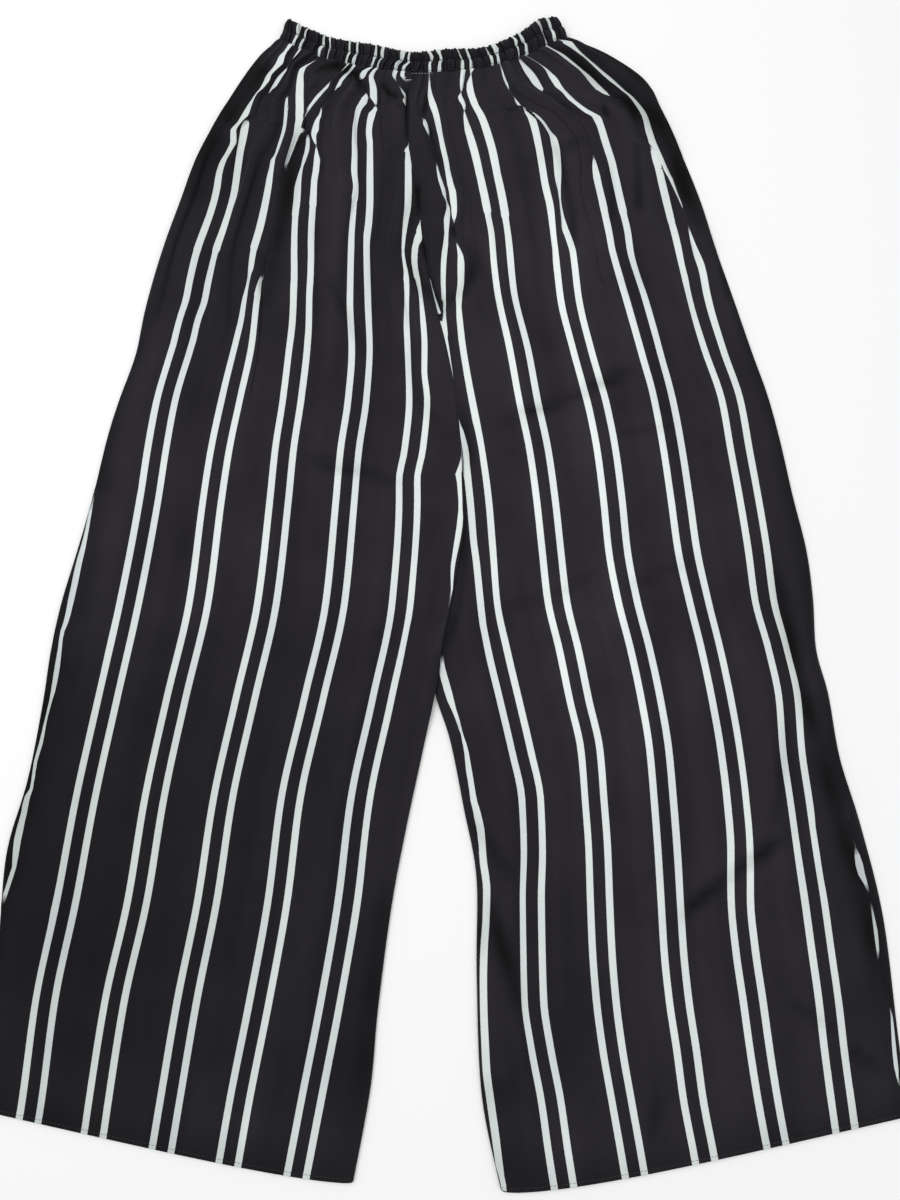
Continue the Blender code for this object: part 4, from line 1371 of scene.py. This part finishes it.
back = {
    "columns": 90,
    "rows": 120,
    "furrowHeight": 0.35,
    "furrow": 20,  # length of cloth in one furrow
    "furrowsFade": (20, 220),
    "stripeShift": 22,  # its stripes don't meet those of the front
    "plainEdge": (2, 6),  # its stripes stop short of its edges
}


def backPanel(leg, name):
    falls = rowFalls(leg)
    points = np.zeros((back["rows"] + 1, back["columns"] + 1, 3))
    undersides = np.zeros(points.shape[:2])
    flatPlaces = np.zeros(points.shape[:2] + (2,))
    shownRows = np.zeros(points.shape[:2])
    for index, fall in enumerate(np.linspace(0, falls[-1], back["rows"] + 1)):
        x, y, along, peek, stations, _ = rowAt(leg, falls, fall)
        at = np.linspace(0, along[-1], back["columns"] + 1)
        places = np.interp(at, stations[:, 1], stations[:, 0])
        rowX, rowY = placesAlong((x, y, along), at)
        lift = liftOver(rowX, rowY, legLift["backRamp"]) if leg == "left" else np.zeros_like(rowX)
        across = at / along[-1]
        rowX = rowX + peek * (across if leg == "right" else 1 - across) ** 3
        furrowHeight = back["furrowHeight"] * (1 - smoothStep(*back["furrowsFade"], fall))
        furrows = 0.5 + 0.5 * np.sin(2 * math.pi * places / back["furrow"] + math.sin(fall / 30))
        points[index] = placed(rowX, rowY, cloth["backTop"] + lift)
        undersides[index] = lift + furrowHeight * furrows
        flatPlaces[index] = np.stack((places + back["stripeShift"], np.full_like(at, -fall)), axis=1)
        shownRows[index] = smoothStep(*back["plainEdge"], np.minimum(at, along[-1] - at))
    piece = gridMesh(name, points, flatPlaces, undersides, shown=shownRows)
    return {"piece": piece, "points": points, "flat": flatPlaces, "total": falls[-1]}


def casingStations(line):
    # where the stripes cross a line of the casing, as (cloth coordinate, length along it)
    x, y, along = line
    stations = [(casing["leftEnd"], 0.0)]
    for stripe, places in enumerate(casingTracks):
        found = crossing(viewTrack(places, cloth["casingTop"]), x, y, along)
        if found is not None:
            place = stripePlace(stripe, cloth["leftmostPair"])
            addStations(stations, place, found[0], found[2], casing["rightEnd"], along[-1])
    stations.append((casing["rightEnd"], along[-1]))
    return np.array(stations)


def casingFront(name):
    first, last = casing["leftEnd"], casing["rightEnd"]
    ruffleHeight, endHeight = casing["ruffleHeight"], casing["endHeight"]
    edge = np.array([0.0, 0.5, 1.2, 2.2])
    plain = np.linspace(first + edge[-1], last - edge[-1], casing["columns"])
    columns = np.concatenate((first + edge[:-1], plain, last - edge[-2::-1]))
    middles, steps = betweenColumns(columns)
    drift = 1.1 * np.sin(middles / 47) + 0.8 * np.sin(middles / 21 + 1)
    ruffles = 2 * math.pi * middles / casing["ruffle"] + drift
    puckers = 2 * math.pi * middles / casing["pucker"] + 2 * drift
    points, flatPlaces, tones, shownRows = [], [], [], []
    for down in [-0.12, -0.06, *np.linspace(0, 1, casing["rows"] + 1), 1.03]:
        inside = min(max(down, 0.0), 1.0)
        x, y, _ = casingLine(inside)
        line = (x, y, lengthAlong(x, y))
        stations = casingStations(line)
        channel = abs(math.sin(2 * math.pi * inside))
        lean = 0.9 * math.cos(math.pi * inside)
        wave = 0.6 * np.sin(ruffles + lean) + 0.75 * np.sin(puckers + 2 * lean)
        centres, steepness = steepnessAlong(
            stations, middles, steps, wave, np.zeros_like(wave), casing["steepest"]
        )
        run, climb = clothLine(wave * np.interp(middles, centres, steepness), steps)
        at = np.interp(run, np.interp(stations[:, 0], columns, run), stations[:, 1])
        relief = climb - smoothOver(climb, columns, casing["meanReach"])
        relief = ruffleHeight * np.tanh(relief / ruffleHeight)
        z = casing["frontBase"] + casing["puff"] * channel**0.7 + relief * (0.5 + 0.5 * channel)
        fromEnd = np.minimum(columns - first, last - columns)
        z = endHeight + (z - endHeight) * rounded(fromEnd, casing["endRadius"])
        rowX, rowY = placesAlong(line, at)
        rowY = rowY + 0.35 * relief / ruffleHeight * (1 - inside) ** 4
        stitched = casing["stitchShown"] if abs(inside - 0.5) < 0.01 else 1.0
        shownRows.append(np.full_like(columns, stitched))
        # painted shade: the whole casing darker, more so at its top edge, middle stitching and seam and in
        # the ruffles' hollows, with painted light on their crests
        casingShade = casing["shade"] * stitched * (0.72 + 0.28 * channel**0.5)
        tones.append(casingShade * (1 + 0.22 * relief / ruffleHeight))
        if down < 0:  # the top edge turns over
            halfway = down > -0.1
            z = 2.0 + (z - 2.0) * (0.75 if halfway else 0.1)
            rowY = rowY + (0.45 if halfway else 0.3)
        if down > 1:  # and the lower edge dips into the seam
            z = z - 1.1
            rowY = rowY - 0.7
        points.append(placed(rowX, rowY, z))
        flatPlaces.append(np.stack((columns, np.full_like(columns, casing["height"] * (1 - down))), axis=1))
    points, flatPlaces = np.array(points), np.array(flatPlaces)
    piece = gridMesh(name, points, flatPlaces, shade=np.array(tones), shown=np.array(shownRows))
    return {"piece": piece, "points": points, "flat": flatPlaces}


def casingBack(name):
    # pressed flat under the front, in fine ruffles
    first, last = casing["leftEnd"], casing["rightEnd"]
    columns = np.linspace(first, last, casing["backColumns"] + 1)
    middles, steps = betweenColumns(columns)
    wave = np.sin(2 * math.pi * middles / casing["backRuffle"] + 1.3 * np.sin(middles / 33))
    points, undersides, flatPlaces = [], [], []
    for down in (0.0, 0.1, 0.25, 0.4, 0.5, 0.6, 0.75, 0.9, 1.0):
        x, y, peek = casingLine(down)
        along = lengthAlong(x, y)
        channel = abs(math.sin(2 * math.pi * down))
        run, climb = clothLine(wave * (1.3 + 0.08 * channel), steps)
        relief = climb - smoothOver(climb, columns, 12.0)
        relief = np.clip((relief - relief.min()) / (relief.max() - relief.min()), 0, 1)
        at = run / run[-1] * along[-1]
        rowX, rowY = placesAlong((x, y, along), at)
        rowY = rowY + np.interp(at, along, peek) * (1 - down) * (0.8 + 0.35 * relief)
        under = relief * casing["backRelief"]
        points.append(placed(rowX, rowY, under + casing["backWall"] - casing["backRelief"]))
        undersides.append(under)
        level = np.full_like(columns, casing["height"] * (1 - down))
        flatPlaces.append(np.stack((columns + casing["backShift"], level), axis=1))
    points, flatPlaces = np.array(points), np.array(flatPlaces)
    piece = gridMesh(name, points, flatPlaces, np.array(undersides))
    return {"piece": piece, "points": points, "flat": flatPlaces}


stitches = {
    # length, gap and thickness
    "casing": (2.0, 0.7, 0.42),
    "hem": (2.6, 0.8, 0.4),
    "tack": (2.4, 0.5, 0.5),
    "sink": 0.1,  # how deep they lie in the cloth
    "casingUps": (casing["height"] / 2, 0.9),  # the casing's rows, above its seam
    "tackDown": 73.5,
    "tackAcross": (411, 436),
    "tackHeight": 6.1,
}


def stitchRow(builder, path, length, gap, thickness):
    # one flat bead of thread for each stitch, along a path over the cloth
    run = runningSum(np.linalg.norm(np.diff(path, axis=0), axis=1))

    def pathPoint(at):
        return np.array([np.interp(at, run, path[:, axis]) for axis in range(3)])

    start = gap
    while start + length < run[-1]:
        middle = Vector(pathPoint(start + 0.5 * length))
        way = Vector(pathPoint(start + length) - pathPoint(start))
        size = Matrix.Diagonal((way.length + 0.2, thickness * 1.15, thickness * 0.8, 1))
        turn = way.to_track_quat("X", "Z").to_matrix().to_4x4()
        place = Matrix.Translation(middle + Vector((0, 0, thickness * 0.4 - stitches["sink"])))
        bmesh.ops.create_icosphere(builder, subdivisions=1, radius=0.5, matrix=place @ turn @ size)
        start += length + gap


def threadPiece(name, rows):
    builder = bmesh.new()
    for path, length, gap, thickness in rows:
        stitchRow(builder, path, length, gap, thickness)
    bmesh.ops.scale(builder, vec=(mm, mm, mm), verts=builder.verts)
    for face in builder.faces:
        face.smooth = True
    return pieceFrom(builder, name)


weave = {
    "dark": (0.0098, 0.0084, 0.0112, 1),
    "darkFaded": (0.0208, 0.0184, 0.0232, 1),
    "pale": (0.74, 0.80, 0.785, 1),
    "paleFaded": (0.60, 0.655, 0.65, 1),
    # how many threads, patches, streaks, wobbles and rumples there are to a metre
    "slubWide": 1500.0,
    "slubLong": 130.0,
    "patches": 14.0,
    "streaks": (26.0, 1.8, 1.0),  # long streaks down the cloth
    "wobbles": 420.0,
    "rumples": 60.0,
    "fadeBy": {"slub": 0.55, "patches": 1.4, "streaks": 2.2},
    "fadeLevel": 1.85,  # a higher level leaves less of the cloth faded
    "edgeWobble": 0.00035,  # of the stripes' edges
    "stripeEdge": 0.06,  # how soft a stripe's edge is, against half its width
    "paleShade": 0.35,  # share of the shade that a pale stripe takes
    "sheenRoughness": 0.45,
    "sheenTint": (0.80, 0.84, 1.0, 1),
    "roughness": 0.72,
    "slubRoughness": 0.12,
    "specular": 0.14,
    "rumpleHeight": 2.5,  # against that of the threads
    "bumpStrength": 0.35,
    "bumpDepth": 0.00022,
}


def newMaterial(name):
    material = bpy.data.materials.new(name)
    material.use_nodes = True
    return material, material.node_tree, material.node_tree.nodes["Principled BSDF"]


def mathNode(tree, operation, first, second=None, third=None):
    node = tree.nodes.new("ShaderNodeMath")
    node.operation = operation
    for socket, value in zip(node.inputs, (first, second, third)):
        if value is None:
            continue
        if isinstance(value, (int, float)):
            socket.default_value = value
        else:
            tree.links.new(value, socket)
    return node.outputs[0]


def noiseNode(tree, place, scale, detail=2.0, stretch=None):
    if stretch is not None:
        mapping = tree.nodes.new("ShaderNodeMapping")
        mapping.inputs["Scale"].default_value = stretch
        tree.links.new(place, mapping.inputs["Vector"])
        place = mapping.outputs["Vector"]
    node = tree.nodes.new("ShaderNodeTexNoise")
    node.inputs["Scale"].default_value = scale
    node.inputs["Detail"].default_value = detail
    node.inputs["Roughness"].default_value = 0.5
    tree.links.new(place, node.inputs["Vector"])
    return node.outputs["Fac"]


def blendColours(tree, share, first, second, mode="MIX"):
    node = tree.nodes.new("ShaderNodeMix")
    node.data_type = "RGBA"
    node.blend_type = mode
    # a colour mix has its share at input 0 and its two colours at 6 and 7
    for socket, value in ((node.inputs[0], share), (node.inputs[6], first), (node.inputs[7], second)):
        if isinstance(value, tuple):
            socket.default_value = value
        else:
            tree.links.new(value, socket)
    return node.outputs[2]


def attributeNode(tree, name):
    node = tree.nodes.new("ShaderNodeAttribute")
    node.attribute_name = name
    return node.outputs["Fac"]


def addBump(tree, shader, height, strength, distance):
    bump = tree.nodes.new("ShaderNodeBump")
    bump.inputs["Strength"].default_value = strength
    bump.inputs["Distance"].default_value = distance
    tree.links.new(height, bump.inputs["Height"])
    tree.links.new(bump.outputs["Normal"], shader.inputs["Normal"])


def stripeShare(tree, place):
    # 1 on the pale stripes and 0 between them, from the cloth's flat coordinates
    across = tree.nodes.new("ShaderNodeSeparateXYZ")
    tree.links.new(place, across.inputs[0])
    pitch = cloth["pairPitch"] * mm
    wobble = noiseNode(tree, place, weave["wobbles"])
    x = mathNode(tree, "MULTIPLY_ADD", wobble, weave["edgeWobble"], across.outputs[0])
    turns = mathNode(tree, "MULTIPLY_ADD", x, 1 / pitch, 0.5 - 0.5 * weave["edgeWobble"] / pitch)
    fromPair = mathNode(tree, "SUBTRACT", mathNode(tree, "FRACT", turns), 0.5)
    fromPair = mathNode(tree, "ABSOLUTE", fromPair)
    offset = cloth["stripeOffset"] / cloth["pairPitch"]
    fromStripe = mathNode(tree, "ABSOLUTE", mathNode(tree, "SUBTRACT", fromPair, offset))
    edge = tree.nodes.new("ShaderNodeMapRange")
    edge.interpolation_type = "SMOOTHSTEP"
    half = cloth["stripeWidth"] / 2 / cloth["pairPitch"]
    edge.inputs["From Min"].default_value = half * (1 + weave["stripeEdge"])
    edge.inputs["From Max"].default_value = half * (1 - weave["stripeEdge"])
    tree.links.new(fromStripe, edge.inputs["Value"])
    return mathNode(tree, "MULTIPLY", edge.outputs[0], attributeNode(tree, "shown"))


def stripedCloth(name, sheen):
    material, tree, shader = newMaterial(name)
    uv = tree.nodes.new("ShaderNodeUVMap")
    uv.uv_map = "cloth"
    place = uv.outputs["UV"]
    wide, long = weave["slubWide"], weave["slubLong"]
    slubAcross = noiseNode(tree, place, 1.0, stretch=(wide, long, 1.0))
    slubAlong = noiseNode(tree, place, 1.0, stretch=(long, wide, 1.0))
    slub = mathNode(tree, "ADD", slubAcross, slubAlong)
    patches = noiseNode(tree, place, weave["patches"], 3.0)
    streaks = noiseNode(tree, place, 1.0, 3.0, weave["streaks"])
    fade = -weave["fadeLevel"]
    for source, part in (("slub", slub), ("patches", patches), ("streaks", streaks)):
        fade = mathNode(tree, "MULTIPLY_ADD", part, weave["fadeBy"][source], fade)
    clamp = tree.nodes.new("ShaderNodeClamp")
    tree.links.new(fade, clamp.inputs[0])
    faded = clamp.outputs[0]

    dark = blendColours(tree, faded, weave["dark"], weave["darkFaded"])
    pale = blendColours(tree, faded, weave["paleFaded"], weave["pale"])
    stripes = stripeShare(tree, place)
    colour = blendColours(tree, stripes, dark, pale)
    # painted shade and light from the shade attribute scale the colour and the sheen; pale stripes take
    # only part of it
    shade = attributeNode(tree, "shade")
    shaded = mathNode(tree, "MULTIPLY_ADD", stripes, weave["paleShade"] - 1, 1.0)
    colour = blendColours(tree, shaded, colour, shade, "MULTIPLY")
    tree.links.new(colour, shader.inputs["Base Color"])
    tree.links.new(mathNode(tree, "MULTIPLY", shade, sheen), shader.inputs["Sheen Weight"])
    shader.inputs["Sheen Roughness"].default_value = weave["sheenRoughness"]
    shader.inputs["Sheen Tint"].default_value = weave["sheenTint"]
    rough = mathNode(tree, "MULTIPLY_ADD", slub, weave["slubRoughness"], weave["roughness"])
    tree.links.new(rough, shader.inputs["Roughness"])
    shader.inputs["Specular IOR Level"].default_value = weave["specular"]
    rumple = noiseNode(tree, place, weave["rumples"], 3.0)
    height = mathNode(tree, "MULTIPLY_ADD", rumple, weave["rumpleHeight"], slub)
    addBump(tree, shader, height, weave["bumpStrength"], weave["bumpDepth"])
    return material


def threadMaterial(name, colour):
    material, tree, shader = newMaterial(name)
    spot = tree.nodes.new("ShaderNodeTexCoord")
    strands = noiseNode(tree, spot.outputs["Object"], 2600.0)
    darker = tuple(channel * 0.6 for channel in colour[:3]) + (1,)
    tree.links.new(blendColours(tree, strands, darker, colour), shader.inputs["Base Color"])
    addBump(tree, shader, strands, 0.5, 0.0001)
    shader.inputs["Roughness"].default_value = 0.6
    return material


clothMaterial = stripedCloth("stripedClothMaterial", sheen=0.10)
casingMaterial = stripedCloth("casingClothMaterial", sheen=0.09)
sewingThread = threadMaterial("sewingThreadMaterial", (0.035, 0.034, 0.038, 1))
tackThread = threadMaterial("tackThreadMaterial", (0.30, 0.31, 0.32, 1))

panels = {}
for leg in ("left", "right"):
    panels["back_" + leg] = backPanel(leg, leg + "LegBack")
    print(leg, "back panel laid out")
    panels["front_" + leg] = frontPanel(leg, leg + "LegFront")
    print(leg, "front panel gathered and folded")
panels["waist_casing_back"] = casingBack("waistCasingBack")
panels["waist_casing_front"] = casingFront("waistCasingFront")
print("waist casing ruffled")

for node, panel in panels.items():
    piece = panel["piece"]
    casingPiece = node.startswith("waist")
    piece.data.materials.append(casingMaterial if casingPiece else clothMaterial)
    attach(piece, "root")
    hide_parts(node)
print("cloth pieces finished")


def pathAlong(panel, up):
    # the cloth's own line at a height of its flat place
    row = int(np.argmin(np.abs(panel["flat"][:, 0, 1] - up)))
    return panel["points"][row][2:-2]


casingPaths = [pathAlong(panels["waist_casing_front"], up) for up in stitches["casingUps"]]
casingThread = threadPiece("casingStitching", [(path, *stitches["casing"]) for path in casingPaths])
threads = [(casingThread, sewingThread)]
for leg in ("left", "right"):
    panel = panels["front_" + leg]
    path = pathAlong(panel, hem["stitchUp"] - panel["total"])
    threads.append((threadPiece(leg + "HemStitching", [(path, *stitches["hem"])]), sewingThread))
# a pale tack holds the casing by the centre seam
tackEnds = []
for across in stitches["tackAcross"]:
    tackEnds.append((*viewToCloth(across, stitches["tackDown"], 6), stitches["tackHeight"]))
tackPath = np.linspace(*placed(*np.array(tackEnds).T), 9)
threads.append((threadPiece("centreBackTack", [(tackPath, *stitches["tack"])]), tackThread))
for piece, material in threads:
    piece.data.materials.append(material)
    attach(piece, "root")
print("stitching done")

studio = {
    "floorSize": 6.0,
    "floorZ": -0.0006,  # just below the cloth
    "floorColour": (0.93, 0.93, 0.93, 1),
    "worldColour": (1, 1, 1, 1),
    "worldStrength": 0.62,
    "lights": [  # name, power, size and place; they point at the middle
        ("keyLight", 26.0, 1.4, (-1.1, 0.9, 1.9)),
        ("fillLight", 9.0, 1.8, (1.3, -0.9, 1.7)),
    ],
}


def makeStage():
    builder = bmesh.new()
    bmesh.ops.create_grid(builder, x_segments=1, y_segments=1, size=studio["floorSize"] / 2)
    floor = pieceFrom(builder, "floor")
    floor.location.z = studio["floorZ"]
    material, _, shader = newMaterial("floorMaterial")
    shader.inputs["Base Color"].default_value = studio["floorColour"]
    shader.inputs["Roughness"].default_value = 0.9
    shader.inputs["Specular IOR Level"].default_value = 0.1
    floor.data.materials.append(material)
    for name, power, size, place in studio["lights"]:
        light = bpy.data.lights.new(name, "AREA")
        light.energy = power
        light.size = size
        lamp = bpy.data.objects.new(name, light)
        lamp.location = place
        lamp.rotation_euler = (-Vector(place)).to_track_quat("-Z", "Y").to_euler()
        bpy.context.scene.collection.objects.link(lamp)
    world = bpy.data.worlds.new("studio")
    world.use_nodes = True
    background = world.node_tree.nodes["Background"]
    background.inputs["Color"].default_value = studio["worldColour"]
    background.inputs["Strength"].default_value = studio["worldStrength"]
    bpy.context.scene.world = world
    bpy.context.scene.view_settings.view_transform = "Standard"


def makeCamera():
    data = bpy.data.cameras.new("camera")
    data.sensor_fit = "VERTICAL"
    data.sensor_height = view["sensor"]
    data.lens = view["lens"]
    data.clip_start = 0.01
    camera = bpy.data.objects.new("camera", data)
    tilt, distance = view["tilt"], view["distance"]
    place = (view["aimX"], view["aimY"] - distance * math.sin(tilt), distance * math.cos(tilt))
    camera.location = [value * mm for value in place]
    camera.rotation_euler = (tilt, 0, 0)
    bpy.context.scene.collection.objects.link(camera)
    bpy.context.scene.camera = camera


makeStage()
makeCamera()
print("stage, lights and camera set")
